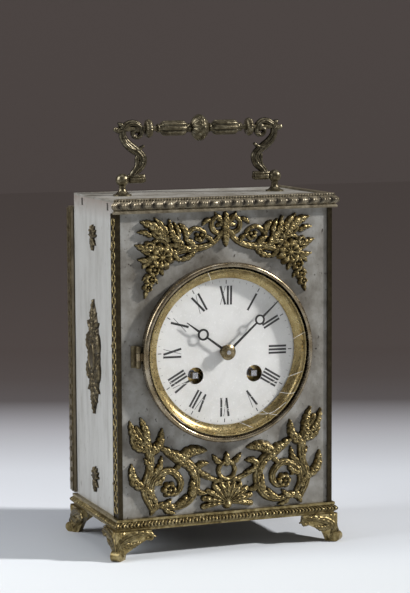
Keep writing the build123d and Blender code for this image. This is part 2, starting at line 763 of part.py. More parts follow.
with BuildPart() as handle_left_bracket:
    with BuildSketch(facing(handle_y)):
        stroke(from_pivot(arm_spine), [8.2, 6.4, 7.4, 7.4, 6.0, 4.2, 3.4, 2.6, 2.2, 2.0, 1.6])
        stroke(from_pivot(lip_spine), [1.6, 2.0, 2.0, 1.4])
        stroke(from_pivot(horn_spine), [3.6, 3.0, 2.4])
        leaf(*from_pivot([(3.1, 29.0), (-0.3, 32.8)]), 3.0)
        leaf(*from_pivot([(2.7, 27.4), (-0.1, 21.6)]), 2.8)
        with Locations((-pivot_x + arm_eye, grip_z)):
            Circle(2.5)
    extrude(amount=bracket_thickness / 2, both=True)
    with BuildSketch(Plane.YZ.offset(knuckle_far)):
        with Locations((handle_y, pivot_z)):
            Circle(knuckle_radius)
    extrude(amount=knuckle_length)
    with BuildSketch(Plane.YZ.offset(-rod_half_length)):
        with Locations((handle_y, pivot_z)):
            Circle(trunnion_radius + trunnion_play)
        with Locations((handle_y, grip_z)):
            Circle(rod_radius + fit_gap)
    extrude(amount=rod_half_length, mode=Mode.SUBTRACT)
    with Locations((-pivot_x, handle_y, pivot_z)):
        Sphere(ball_radius + running_gap, mode=Mode.SUBTRACT)
write(handle_left_bracket, "handle_left_bracket")

with BuildPart() as handle_right_bracket:
    mirror(handle_left_bracket.part, about=Plane.YZ)
write(handle_right_bracket, "handle_right_bracket")

# The rod through both scrolls, with its end balls
end_ball_radius = 1.2
grip_axis = Axis((0, handle_y, grip_z), (1, 0, 0))
with BuildPart() as handle_rod:
    with BuildSketch(Plane.YZ.offset(-rod_half_length + end_ball_radius)):
        with Locations((handle_y, grip_z)):
            Circle(rod_radius - 0.45)
    extrude(amount=2 * (rod_half_length - end_ball_radius))
    with BuildSketch(Plane.YZ.offset(-rod_half_length + 4 * end_ball_radius)):
        with Locations((handle_y, grip_z)):
            Circle(rod_radius)
    extrude(amount=2 * (rod_half_length - 4 * end_ball_radius))
    for end in (-1, 1):
        with Locations((end * (rod_half_length - end_ball_radius), handle_y, grip_z)):
            Sphere(end_ball_radius)
write(handle_rod, "handle_rod")

# The ringed collars beside the scrolls
rod_bore = rod_radius + fit_gap
with BuildPart() as handle_collars:
    with BuildSketch(facing(handle_y)):
        with BuildLine():
            start = collar_place - collar_length / 2
            Polyline((start, grip_z + rod_bore), (start, grip_z + 0.5 * collar_radius),
                     (start + 0.3 * collar_length, grip_z + 0.92 * collar_radius))
            ThreePointArc((start + 0.3 * collar_length, grip_z + 0.92 * collar_radius),
                          (start + 0.5 * collar_length, grip_z + collar_radius),
                          (start + 0.7 * collar_length, grip_z + 0.92 * collar_radius))
            Polyline((start + 0.7 * collar_length, grip_z + 0.92 * collar_radius),
                     (start + collar_length, grip_z + 0.5 * collar_radius),
                     (start + collar_length, grip_z + rod_bore), (start, grip_z + rod_bore))
        make_face()
    revolve(axis=grip_axis)
    mirror(about=Plane.YZ)
write(handle_collars, "handle_collars")

# The fluted barrels of the grip, each between two cones
flutes = 8
cone_length = 3.6
with BuildPart() as handle_barrels:
    with BuildSketch(facing(handle_y)):
        with BuildLine():
            Polyline((barrel_grip_start, grip_z + rod_bore), (barrel_grip_start, grip_z + 2.4),
                     (barrel_grip_start + cone_length, grip_z + 0.86 * barrel_grip_radius),
                     (barrel_grip_end - cone_length, grip_z + 0.86 * barrel_grip_radius),
                     (barrel_grip_end, grip_z + 2.2), (barrel_grip_end, grip_z + rod_bore),
                     close=True)
        make_face()
    revolve(axis=grip_axis)
    lobe_ring = 0.68 * barrel_grip_radius
    lobe_plane = Plane(origin=(barrel_grip_start + cone_length, handle_y, grip_z), x_dir=back,
                       z_dir=right)
    with BuildSketch(lobe_plane):
        with PolarLocations(lobe_ring, flutes):
            Circle(barrel_grip_radius - lobe_ring)
    extrude(amount=barrel_grip_end - barrel_grip_start - 2 * cone_length)
    mirror(about=Plane.YZ)
write(handle_barrels, "handle_barrels")

# The knop in the middle of the grip
with BuildPart() as handle_knop:
    with BuildSketch(facing(handle_y)):
        with BuildLine():
            Polyline((-knop_length / 2, grip_z + 2.4), (-knop_length / 2, grip_z + rod_bore),
                     (knop_length / 2, grip_z + rod_bore), (knop_length / 2, grip_z + 3.6))
            Spline((knop_length / 2, grip_z + 3.6), (0.3 * knop_length, grip_z + 0.86 * knop_radius),
                   (0, grip_z + knop_radius), (-0.22 * knop_length, grip_z + 0.84 * knop_radius),
                   (-knop_length / 2, grip_z + 2.4))
        make_face()
    revolve(axis=grip_axis)
write(handle_knop, "handle_knop")

# The rear door: a shallow tray with hinge lugs on its right edge
door_height = door_top - door_bottom
door_middle = (door_top + door_bottom) / 2
door_hinge_x = door_half_width + door_hinge_offset
button_x = -(rear_opening_width / 2 - button_inset)
button_height = dial_height - 4.0
hinge_heights = (door_middle - door_hinge_spacing / 2, door_middle + door_hinge_spacing / 2)
door_lug_length = door_hinge_length / 2 - running_gap
with BuildPart() as rear_door:
    with BuildSketch(facing(door_back)):
        with Locations((0, door_middle)):
            Rectangle(2 * door_half_width, door_height)
    extrude(amount=door_depth)
    with BuildSketch(facing(door_back - door_wall)):
        with Locations((0, door_middle)):
            Rectangle(2 * (door_half_width - door_wall), door_height - 2 * door_wall)
    extrude(amount=door_depth, mode=Mode.SUBTRACT)
    for hinge_height in hinge_heights:
        with Locations((door_half_width, door_front + 1.2, hinge_height)):
            Box(2 * door_hinge_offset, 2.0, door_lug_length)
        with Locations((door_hinge_x, half_depth, hinge_height)):
            Cylinder(hinge_radius, door_lug_length)
    for hinge_height in hinge_heights:
        with Locations((door_hinge_x, half_depth, hinge_height)):
            Cylinder(hinge_pin_radius + hinge_pin_play, door_hinge_length, mode=Mode.SUBTRACT)
        for end in (-1, 1):
            with Locations((door_hinge_x, half_depth,
                            hinge_height + end * (door_lug_length / 2 + running_gap + 5))):
                Cylinder(hinge_radius + running_gap, 10, mode=Mode.SUBTRACT)
    with BuildSketch(facing(door_back + 1)):
        with Locations((button_x, button_height)):
            Circle(button_shaft_radius + fit_gap)
    extrude(amount=door_depth, mode=Mode.SUBTRACT)
write(rear_door, "rear_door")

# The beaded strips along both edges of the door, the right one parted at the hinges
door_strip_height = door_height - 2.0
with BuildPart() as door_strips:
    for side in (-1, 1):
        with Locations((side * (door_half_width + door_strip_thickness / 2),
                        (door_front + door_back) / 2 + 0.2, door_middle)):
            Box(door_strip_thickness, door_depth - 1.0, door_strip_height)
        with BuildSketch(Plane(origin=(side * (door_half_width + door_strip_thickness),
                                       (door_front + door_back) / 2 + 0.2, door_middle),
                               x_dir=(0, side, 0), z_dir=(side, 0, 0))):
            with GridLocations(1, strip_pitch, 1, int(door_strip_height // strip_pitch)):
                Circle(strip_boss_radius)
        extrude(amount=strip_boss_height)
    for hinge_height in hinge_heights:
        with Locations((door_half_width + 2.0, door_front + 3, hinge_height)):
            Box(4.0, 10, door_hinge_length + 2 * running_gap, mode=Mode.SUBTRACT)
write(door_strips, "door_strips")

# The fixed hinge leaves: two for the door on the right side, one for the bezel on the front
bezel_hinge_x = -(bezel_radius + bezel_hinge_offset)
bezel_hinge_y = -half_depth - 2.6
leaf_thickness = 0.9
bezel_leaf_thickness = 0.7
bezel_leaf_width = 4.0
door_knuckle = (door_hinge_length - door_lug_length) / 2 - running_gap
bezel_knuckle = (bezel_hinge_length - bezel_hinge_lug) / 2 - running_gap
with BuildPart() as hinge_leaves:
    for hinge_height in hinge_heights:
        with Locations((half_width + leaf_thickness / 2, half_depth - 6.0, hinge_height)):
            Box(leaf_thickness, 8.0, door_hinge_length)
        for end in (-1, 1):
            place = hinge_height + end * (door_lug_length + door_knuckle + 2 * running_gap) / 2
            with Locations(((half_width + door_hinge_x) / 2, half_depth - 2.6, place)):
                Box(door_hinge_x - half_width, 1.6, door_knuckle)
            with Locations((door_hinge_x, half_depth, place)):
                Cylinder(hinge_radius, door_knuckle)
            with Locations((door_hinge_x, half_depth - hinge_radius, place)):
                Box(1.8, 1.8, door_knuckle)
            with Locations((door_hinge_x, half_depth, place)):
                Cylinder(hinge_pin_radius + fit_gap, door_knuckle, mode=Mode.SUBTRACT)
    with Locations((bezel_hinge_x + 0.5 - bezel_leaf_width / 2,
                    -half_depth - bezel_leaf_thickness / 2, dial_height)):
        Box(bezel_leaf_width, bezel_leaf_thickness, bezel_hinge_length)
    for end in (-1, 1):
        place = dial_height + end * (bezel_hinge_lug + bezel_knuckle + 2 * running_gap) / 2
        with Locations((bezel_hinge_x, bezel_hinge_y, place)):
            Cylinder(bezel_hinge_radius, bezel_knuckle)
        with Locations((bezel_hinge_x - 0.4, (bezel_hinge_y - half_depth) / 2, place)):
            Box(1.2, abs(bezel_hinge_y + half_depth), bezel_knuckle)
        with Locations((bezel_hinge_x, bezel_hinge_y, place)):
            Cylinder(bezel_pin_radius + fit_gap, bezel_knuckle, mode=Mode.SUBTRACT)
write(hinge_leaves, "hinge_leaves")

# The three hinge pins
with BuildPart() as hinge_pins:
    for hinge_height in hinge_heights:
        with Locations((door_hinge_x, half_depth, hinge_height)):
            Cylinder(hinge_pin_radius, door_hinge_length + 0.8)
    with Locations((bezel_hinge_x, bezel_hinge_y, dial_height)):
        Cylinder(bezel_pin_radius, bezel_hinge_length + 0.6)
write(hinge_pins, "hinge_pins")

# The turn button of the door: a knob outside, a shaft and a latch that turns behind the frame
knob_thickness = 0.8
latch_front = half_depth - sheet - running_gap
with BuildPart() as door_turn_button:
    with BuildSketch(facing(door_back + running_gap / 3)):
        with Locations((button_x, button_height)):
            Circle(button_radius)
    extrude(amount=-knob_thickness + running_gap / 3)
    with BuildSketch(facing(door_back + running_gap / 3)):
        with Locations((button_x, button_height)):
            Circle(button_shaft_radius)
    extrude(amount=door_back + running_gap / 3 - latch_front + latch_thickness)
    with BuildSketch(facing(latch_front)):
        with Locations((button_x, button_height + latch_length / 2)):
            RectangleRounded(latch_width, latch_length + latch_width, 0.49 * latch_width)
    extrude(amount=latch_thickness)
write(door_turn_button, "door_turn_button")

# The bezel: a turned ring with a rolled rim, a rebate for the glass and its hinge lug
dial_axis = Axis((0, 0, dial_height), (0, 1, 0))
bezel_back = half_depth + bezel_gap
glass_back = bezel_front - glass_setback - glass_thickness
with BuildPart() as bezel:
    with BuildSketch(Plane.YZ):
        with BuildLine():
            Polyline((-glass_back, dial_height + bezel_inner_radius),
                     (-bezel_back, dial_height + bezel_inner_radius + 0.9),
                     (-bezel_back, dial_height + bezel_radius - 0.5),
                     (-bezel_back - 2.6, dial_height + bezel_radius - 0.5))
            Spline((-bezel_back - 2.6, dial_height + bezel_radius - 0.5),
                   (-bezel_front + 2.4, dial_height + bezel_radius),
                   (-bezel_front + 0.6, dial_height + bezel_radius - 0.5),
                   (-bezel_front, dial_height + bezel_radius - 1.4),
                   (-bezel_front + 0.5, dial_height + glass_radius + fit_gap))
            Polyline((-bezel_front + 0.5, dial_height + glass_radius + fit_gap),
                     (-glass_back, dial_height + glass_radius + fit_gap),
                     (-glass_back, dial_height + bezel_inner_radius))
        make_face()
    revolve(axis=dial_axis)
    with Locations(((bezel_hinge_x - bezel_radius + 0.8) / 2, bezel_hinge_y, dial_height)):
        Box(bezel_hinge_offset + 0.8, 1.6, bezel_hinge_lug)
    with Locations((bezel_hinge_x, bezel_hinge_y, dial_height)):
        Cylinder(bezel_hinge_radius, bezel_hinge_lug)
    with Locations((bezel_hinge_x, bezel_hinge_y, dial_height)):
        Cylinder(bezel_pin_radius + hinge_pin_play, bezel_hinge_lug, mode=Mode.SUBTRACT)
write(bezel, "bezel")

# The gilt sight ring behind the glass, a shallow cone down to the dial
sight_back = half_depth + 0.1
sight_outer = bezel_inner_radius - 2 * fit_gap
with BuildPart() as sight_ring:
    with BuildSketch(Plane.YZ):
        with BuildLine():
            Polyline((-glass_back + fit_gap, dial_height + sight_outer),
                     (-glass_back + fit_gap, dial_height + sight_outer - sight_wall))
            ThreePointArc((-glass_back + fit_gap, dial_height + sight_outer - sight_wall),
                          (-sight_back - 1.4, dial_height + 0.5 * (sight_radius + sight_outer)),
                          (-sight_back - 0.5, dial_height + sight_radius))
            Polyline((-sight_back - 0.5, dial_height + sight_radius),
                     (-sight_back, dial_height + sight_radius),
                     (-sight_back, dial_height + sight_outer),
                     (-glass_back + fit_gap, dial_height + sight_outer))
        make_face()
    revolve(axis=dial_axis)
write(sight_ring, "sight_ring")

with BuildPart() as bezel_glass:
    with BuildSketch(facing(-glass_back)):
        with Locations((0, dial_height)):
            Circle(glass_radius)
    extrude(amount=glass_thickness)
    chamfer(bezel_glass.faces().sort_by(Axis.Y)[0].edges(), 0.5 * glass_thickness)
write(bezel_glass, "bezel_glass")

# The enamel dial in the opening of the front panel
panel_inside = -half_depth + sheet
winding_places = [turned(-winding_spacing / 2, -winding_drop), turned(winding_spacing / 2, -winding_drop)]
with BuildPart() as dial:
    with BuildSketch(facing(panel_inside)):
        with Locations((0, dial_height)):
            Circle(dial_radius)
            Circle(dial_centre_hole, mode=Mode.SUBTRACT)
        with Locations(*winding_places):
            Circle(winding_hole_radius, mode=Mode.SUBTRACT)
    extrude(amount=dial_thickness)
write(dial, "dial")

# The brass plate that carries the dial, on three feet from the movement
dial_plate_back = panel_inside + dial_plate_thickness
front_plate_front = dial_plate_back + front_plate_setback
dial_foot_places = [turned(*polar(angle, 37.0)) for angle in (30, 150, 270)]
with BuildPart() as dial_plate:
    with BuildSketch(facing(dial_plate_back)):
        with Locations((0, dial_height)):
            Circle(dial_plate_radius)
            Circle(dial_centre_hole + 0.5, mode=Mode.SUBTRACT)
        with Locations(*winding_places):
            Circle(winding_hole_radius + 0.4, mode=Mode.SUBTRACT)
    extrude(amount=dial_plate_thickness)
    with BuildSketch(facing(front_plate_front)):
        with Locations(*dial_foot_places):
            Circle(2.0)
    extrude(amount=front_plate_setback)
write(dial_plate, "dial_plate")

# The front plate of the movement, with its riveted pillars and the stud of the minute wheel
front_plate_back = front_plate_front + plate_thickness
back_plate_front = front_plate_back + plate_distance
back_plate_back = back_plate_front + plate_thickness
motion_centre = turned(0, motion_distance)
pillar_places = [turned(x, up) for x, up in ((-30, 20), (30, 20), (-9, -36), (9, -36))]
minute_stud_radius = 0.9
pinion_front = front_plate_front - 4.4
with BuildPart() as movement_front_plate:
    with BuildSketch(facing(front_plate_back)):
        with Locations((0, dial_height)):
            Circle(plate_radius)
        with Locations(turned(0, plate_tongue_top / 2)):
            Rectangle(plate_tongue_width, plate_tongue_top)
        with Locations((0, dial_height)):
            Circle(centre_arbor_radius + fit_gap, mode=Mode.SUBTRACT)
        with Locations(*winding_places):
            Circle(front_pivot_radius + fit_gap, mode=Mode.SUBTRACT)
    extrude(amount=plate_thickness)
    with BuildSketch(facing(front_plate_front)):
        with Locations(motion_centre):
            Circle(minute_stud_radius)
    extrude(amount=front_plate_front - pinion_front)
    with BuildSketch(facing(back_plate_front)):
        with Locations(*pillar_places):
            Circle(pillar_radius)
    extrude(amount=plate_distance)
write(movement_front_plate, "movement_front_plate")

# The back plate, with the bell stand and the stud of the hammer
bell_back = back_plate_back + bell_setback + bell_depth
hammer_place = turned(*polar(100, 37.0))
hammer_stud_radius = 1.2
hammer_hub_length = 5.0
bell_stud_radius = 1.5
with BuildPart() as movement_back_plate:
    with BuildSketch(facing(back_plate_back)):
        with Locations((0, dial_height)):
            Circle(plate_radius)
        with Locations(turned(0, plate_tongue_top / 2)):
            Rectangle(plate_tongue_width, plate_tongue_top)
        with Locations((0, dial_height)):
            Circle(centre_arbor_radius + fit_gap, mode=Mode.SUBTRACT)
        with Locations(*winding_places):
            Circle(rear_pivot_radius + fit_gap, mode=Mode.SUBTRACT)
    extrude(amount=plate_thickness)
    bell_stand_place = turned(0, 6.0)
    with BuildSketch(facing(bell_back - bell_wall)):
        with Locations(bell_stand_place):
            Circle(2 * bell_stud_radius)
    extrude(amount=bell_back - bell_wall - back_plate_back)
    with BuildSketch(facing(bell_back + 2.0)):
        with Locations(bell_stand_place):
            Circle(bell_stud_radius)
    extrude(amount=bell_wall + 2.0)
    with BuildSketch(facing(back_plate_back + 4.0 + hammer_hub_length)):
        with Locations(hammer_place):
            Circle(hammer_stud_radius)
    extrude(amount=4.0 + hammer_hub_length)
write(movement_back_plate, "movement_back_plate")

# The mainspring barrels with their great wheels, the going one at the back of the frame
great_module = 2 * hypot(winding_spacing / 2, winding_drop) / (great_wheel_teeth + centre_pinion_teeth)
drum_front = front_plate_back + 1.6
going_wheel_front = drum_front + barrel_length
line_to_centre = degrees(atan2(-winding_places[0][0], dial_height - winding_places[0][1]))
with BuildPart() as going_barrel:
    with BuildSketch(facing(going_wheel_front)):
        with Locations(winding_places[0]):
            Circle(barrel_radius)
    extrude(amount=barrel_length)
    with BuildSketch(facing(going_wheel_front + great_wheel_thickness)):
        toothed_face(great_wheel_teeth, great_module, winding_places[0], line_to_centre)
    extrude(amount=great_wheel_thickness)
    with BuildSketch(facing(going_wheel_front + great_wheel_thickness)):
        with Locations(winding_places[0]):
            Circle(barrel_arbor_radius + fit_gap)
    extrude(amount=barrel_length + great_wheel_thickness, mode=Mode.SUBTRACT)
write(going_barrel, "going_barrel")

with BuildPart() as strike_barrel:
    with BuildSketch(facing(drum_front + great_wheel_thickness)):
        toothed_face(great_wheel_teeth, great_module, winding_places[1], 0)
    extrude(amount=great_wheel_thickness)
    with BuildSketch(facing(drum_front + great_wheel_thickness + barrel_length)):
        with Locations(winding_places[1]):
            Circle(barrel_radius)
    extrude(amount=barrel_length)
    with BuildSketch(facing(drum_front + great_wheel_thickness + barrel_length)):
        with Locations(winding_places[1]):
            Circle(barrel_arbor_radius + fit_gap)
    extrude(amount=barrel_length + great_wheel_thickness, mode=Mode.SUBTRACT)
write(strike_barrel, "strike_barrel")

# The winding arbors, each with its key square in a hole of the dial
square_front = panel_inside - 0.3
with BuildPart() as going_winding_arbor:
    with BuildSketch(facing(back_plate_front - running_gap)):
        with Locations(winding_places[0]):
            Circle(barrel_arbor_radius)
    extrude(amount=plate_distance - 2 * running_gap)
    with BuildSketch(facing(front_plate_back + running_gap)):
        with Locations(winding_places[0]):
            Circle(front_pivot_radius)
    extrude(amount=plate_thickness + 2 * running_gap)
    with BuildSketch(facing(front_plate_front)):
        with Locations(Location((*winding_places[0], 0), (0, 0, -movement_tilt))):
            Rectangle(square_size, square_size)
    extrude(amount=front_plate_front - square_front)
    with BuildSketch(facing(back_plate_back + running_gap)):
        with Locations(winding_places[0]):
            Circle(rear_pivot_radius)
    extrude(amount=plate_thickness + 2 * running_gap)
write(going_winding_arbor, "going_winding_arbor")

with BuildPart() as strike_winding_arbor:
    apart = (winding_places[1][0] - winding_places[0][0], 0,
             winding_places[1][1] - winding_places[0][1])
    add(going_winding_arbor.part.moved(Location(apart)))
write(strike_winding_arbor, "strike_winding_arbor")

# The motion work. The cannon wheel drives the minute wheel, whose pinion drives the hour wheel.
cannon_module = 2 * motion_distance / (cannon_teeth + minute_teeth)
hour_module = 2 * motion_distance / (minute_pinion_teeth + hour_teeth)
upward = movement_tilt
minute_hand_front = panel_inside - 5.0
hour_hand_front = panel_inside - 3.2
pipe_end = minute_hand_front - 0.1
nut_front = pipe_end - 1.1
pinion_back = going_wheel_front + great_wheel_thickness + 0.5
with BuildPart() as centre_arbor:
    with BuildSketch(facing(back_plate_back + running_gap)):
        with Locations((0, dial_height)):
            Circle(centre_arbor_radius)
    extrude(amount=back_plate_back + running_gap - nut_front)
    with BuildSketch(facing(pinion_back)):
        toothed_face(centre_pinion_teeth, great_module, (0, dial_height),
                     line_to_centre + 180 + 180 / centre_pinion_teeth)
    extrude(amount=great_wheel_thickness + 1.0)
    with BuildSketch(facing(front_plate_front - 0.6)):
        toothed_face(cannon_teeth, cannon_module, (0, dial_height), upward)
    extrude(amount=1.6)
    with BuildSketch(facing(front_plate_front - 0.6)):
        with Locations((0, dial_height)):
            Circle(cannon_pipe_radius)
    extrude(amount=front_plate_front - 0.6 - pipe_end)
write(centre_arbor, "centre_arbor")

hour_wheel_back = pinion_front + 1.2
with BuildPart() as minute_wheel:
    with BuildSketch(facing(front_plate_front - 1.2)):
        toothed_face(minute_teeth, cannon_module, motion_centre, upward + 180 + 180 / minute_teeth)
    extrude(amount=1.0)
    with BuildSketch(facing(front_plate_front - 1.2)):
        toothed_face(minute_pinion_teeth, hour_module, motion_centre,
                     upward + 180 + 180 / minute_pinion_teeth)
    extrude(amount=front_plate_front - 1.2 - pinion_front)
    with BuildSketch(facing(front_plate_front)):
        with Locations(motion_centre):
            Circle(minute_stud_radius + fit_gap)
    extrude(amount=front_plate_front - pinion_front, mode=Mode.SUBTRACT)
write(minute_wheel, "minute_wheel")

with BuildPart() as hour_wheel:
    with BuildSketch(facing(hour_wheel_back)):
        toothed_face(hour_teeth, hour_module, (0, dial_height), upward)
    extrude(amount=1.0)
    with BuildSketch(facing(hour_wheel_back)):
        with Locations((0, dial_height)):
            Circle(hour_pipe_radius)
    extrude(amount=hour_wheel_back - hour_hand_front + 0.1)
    with BuildSketch(facing(hour_wheel_back)):
        with Locations((0, dial_height)):
            Circle(cannon_pipe_radius + pipe_play)
    extrude(amount=hour_wheel_back - hour_hand_front + 0.1, mode=Mode.SUBTRACT)
write(hour_wheel, "hour_wheel")


def hand_face(angle, reach, ring_place, ring_radius, hub_radius, bore_radius, stem_width):
    """A slender hand with a hub, an open ring near its tip and a fine point."""
    centre = (0, dial_height)
    across = angle + 90
    root_left = polar(across, -stem_width / 2, centre)
    root_right = polar(across, stem_width / 2, centre)
    neck = polar(angle, ring_place - 0.8 * ring_radius, centre)
    shoulder = polar(angle, ring_place + 0.8 * ring_radius, centre)
    point = polar(angle, reach, centre)
    with BuildLine() as outline:
        Polyline(root_left, root_right, polar(across, 0.35 * stem_width, neck),
                 polar(across, -0.35 * stem_width, neck), close=True)
    make_face(outline.edges())
    with BuildLine() as outline:
        Polyline(polar(across, -0.45 * stem_width, shoulder), polar(across, 0.45 * stem_width, shoulder),
                 polar(across, 0.15 * stem_width, point), polar(across, -0.15 * stem_width, point),
                 close=True)
    make_face(outline.edges())
    with Locations(polar(angle, ring_place, centre)):
        Circle(ring_radius)
        Circle(0.66 * ring_radius, mode=Mode.SUBTRACT)
    with Locations(centre):
        Circle(hub_radius)
        Circle(bore_radius, mode=Mode.SUBTRACT)


with BuildPart() as hour_hand:
    with BuildSketch(facing(hour_hand_front + hand_thickness)):
        hand_face(hour_angle, hour_reach, hour_ring_place, hour_ring_radius, hour_pipe_radius + 0.9,
                  hour_pipe_radius + fit_gap, 1.5)
    extrude(amount=hand_thickness)
write(hour_hand, "hour_hand")

with BuildPart() as minute_hand:
    with BuildSketch(facing(minute_hand_front + hand_thickness)):
        hand_face(minute_angle, minute_reach, minute_ring_place, minute_ring_radius,
                  cannon_pipe_radius + 1.2, cannon_pipe_radius + fit_gap, 1.4)
    extrude(amount=hand_thickness)
write(minute_hand, "minute_hand")

# The domed collet that holds the minute hand
with BuildPart() as hand_nut:
    with BuildSketch(Plane.YZ):
        with BuildLine():
            Polyline((pipe_end, dial_height + centre_arbor_radius + fit_gap),
                     (pipe_end, dial_height + nut_radius))
            ThreePointArc((pipe_end, dial_height + nut_radius),
                          (pipe_end - 0.8, dial_height + 0.7 * nut_radius),
                          (nut_front, dial_height + centre_arbor_radius + fit_gap))
            Line((nut_front, dial_height + centre_arbor_radius + fit_gap),
                 (pipe_end, dial_height + centre_arbor_radius + fit_gap))
        make_face()
    revolve(axis=dial_axis)
write(hand_nut, "hand_nut")

# The platform on top of the plates, with the cock over the balance
platform_z = dial_height + plate_tongue_top
platform_x, platform_shift = turned(0, plate_tongue_top)
staff_y = (front_plate_front + back_plate_back) / 2
cock_height = 5.2
cock_thickness = 1.3
jewel_radius = 0.55
with BuildPart() as platform_escapement:
    with BuildSketch(Plane.XY.offset(platform_z + 0.3)):
        with Locations((platform_x, staff_y)):
            Rectangle(plate_tongue_width, back_plate_back - front_plate_front)
    extrude(amount=platform_thickness)
    with BuildSketch(Plane.XY.offset(platform_z + 0.3 + platform_thickness)):
        with Locations((platform_x + balance_radius + 3.2, staff_y)):
            Rectangle(3.6, 5.0)
    extrude(amount=cock_height)
    with BuildSketch(Plane.XY.offset(platform_z + 0.3 + platform_thickness + cock_height)):
        with Locations((platform_x + (balance_radius + 5.0) / 2 - 1.5, staff_y)):
            Rectangle(balance_radius + 5.0 + 3.0, 5.0)
        with Locations((platform_x, staff_y)):
            Circle(jewel_radius, mode=Mode.SUBTRACT)
    extrude(amount=cock_thickness)
write(platform_escapement, "platform_escapement")

# The balance: a rim with two arms on its staff
balance_z = platform_z + 0.3 + platform_thickness + 1.8
with BuildPart() as balance_wheel:
    with BuildSketch(Plane.XY.offset(balance_z)):
        with Locations((platform_x, staff_y)):
            Circle(balance_radius)
            Circle(balance_radius - balance_rim, mode=Mode.SUBTRACT)
            Rectangle(2 * balance_radius - balance_rim, 1.2)
            Circle(1.3)
    extrude(amount=1.0)
    with BuildSketch(Plane.XY.offset(platform_z + 0.3 + platform_thickness + 0.1)):
        with Locations((platform_x, staff_y)):
            Circle(jewel_radius - fit_gap)
    extrude(amount=cock_height - 0.1 + cock_thickness - 0.2)
write(balance_wheel, "balance_wheel")

# The bell on its stand, open to the plate
bell_centre = (bell_stand_place[0], 0, bell_stand_place[1])
with BuildPart() as bell:
    with BuildSketch(Plane(origin=bell_centre, x_dir=(0, 1, 0), z_dir=(1, 0, 0))):
        with BuildLine():
            mouth = bell_back - bell_depth
            Line((mouth, bell_radius), (mouth, bell_radius - bell_wall))
            Spline((mouth, bell_radius - bell_wall), (mouth + 0.62 * bell_depth, 0.8 * bell_radius),
                   (bell_back - bell_wall, 0.35 * bell_radius))
            Polyline((bell_back - bell_wall, 0.35 * bell_radius),
                     (bell_back - bell_wall, bell_stud_radius + fit_gap),
                     (bell_back, bell_stud_radius + fit_gap), (bell_back, 0.38 * bell_radius))
            Spline((bell_back, 0.38 * bell_radius),
                   (mouth + 0.68 * bell_depth, 0.84 * bell_radius), (mouth, bell_radius))
        make_face()
    revolve(axis=Axis(bell_centre, (0, 1, 0)))
write(bell, "bell")

# The hammer, which strikes the edge of the bell
hammer_level = back_plate_back + 4.0
head_angle = 130.0
head_distance = bell_radius + running_gap + 0.5 + hammer_head_length / 2
head_x, head_z = polar(head_angle, head_distance, bell_stand_place)
head_direction = (sin(radians(head_angle)), 0, cos(radians(head_angle)))
head_y = mouth + 1.6
hub_radius = 2.8
with BuildPart() as hammer:
    with BuildSketch(facing(hammer_level + hammer_hub_length)):
        with Locations(hammer_place):
            Circle(hub_radius)
    extrude(amount=hammer_hub_length)
    with BuildSketch(facing(head_y + 0.9)):
        reach_x = head_x - hammer_place[0]
        reach_z = head_z - hammer_place[1]
        middle = ((head_x + hammer_place[0]) / 2, (head_z + hammer_place[1]) / 2)
        with Locations(Location((*middle, 0), (0, 0, degrees(atan2(reach_z, reach_x))))):
            Rectangle(hypot(reach_x, reach_z), hammer_arm_width)
    extrude(amount=1.8)
    with BuildSketch(Plane(origin=(head_x, head_y, head_z), x_dir=(0, 1, 0), z_dir=head_direction)):
        Circle(hammer_head_radius)
    extrude(amount=hammer_head_length / 2, both=True)
    with BuildSketch(facing(back_plate_back + 4.0 + 3 * hammer_hub_length)):
        with Locations(hammer_place):
            Circle(hammer_stud_radius + fit_gap)
    extrude(amount=3 * hammer_hub_length, mode=Mode.SUBTRACT)
write(hammer, "hammer")
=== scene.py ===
import math
import bpy
import bmesh
import numpy as np
from mathutils import Matrix, Vector


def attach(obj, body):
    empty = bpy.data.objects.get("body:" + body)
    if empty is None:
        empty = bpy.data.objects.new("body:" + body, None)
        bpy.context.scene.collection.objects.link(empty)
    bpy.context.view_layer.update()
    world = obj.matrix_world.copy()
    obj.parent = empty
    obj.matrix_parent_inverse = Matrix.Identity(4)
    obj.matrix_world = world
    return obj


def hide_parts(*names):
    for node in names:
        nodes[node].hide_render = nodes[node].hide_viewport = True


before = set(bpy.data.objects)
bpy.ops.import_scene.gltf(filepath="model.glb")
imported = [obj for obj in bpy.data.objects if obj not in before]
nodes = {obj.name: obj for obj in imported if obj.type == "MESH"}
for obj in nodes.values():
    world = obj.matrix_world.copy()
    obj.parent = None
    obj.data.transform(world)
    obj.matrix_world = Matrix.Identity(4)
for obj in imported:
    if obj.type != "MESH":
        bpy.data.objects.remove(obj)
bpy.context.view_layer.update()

# The sheet case: front, sides and top of thin metal sheet, silvered and dulled with age,
# folded at the corners and riveted behind the strips. Each face has its own copy of the finish,
# toned for the light that falls on it: painted shade on the front, painted light on the sides and top.
MM = 0.001


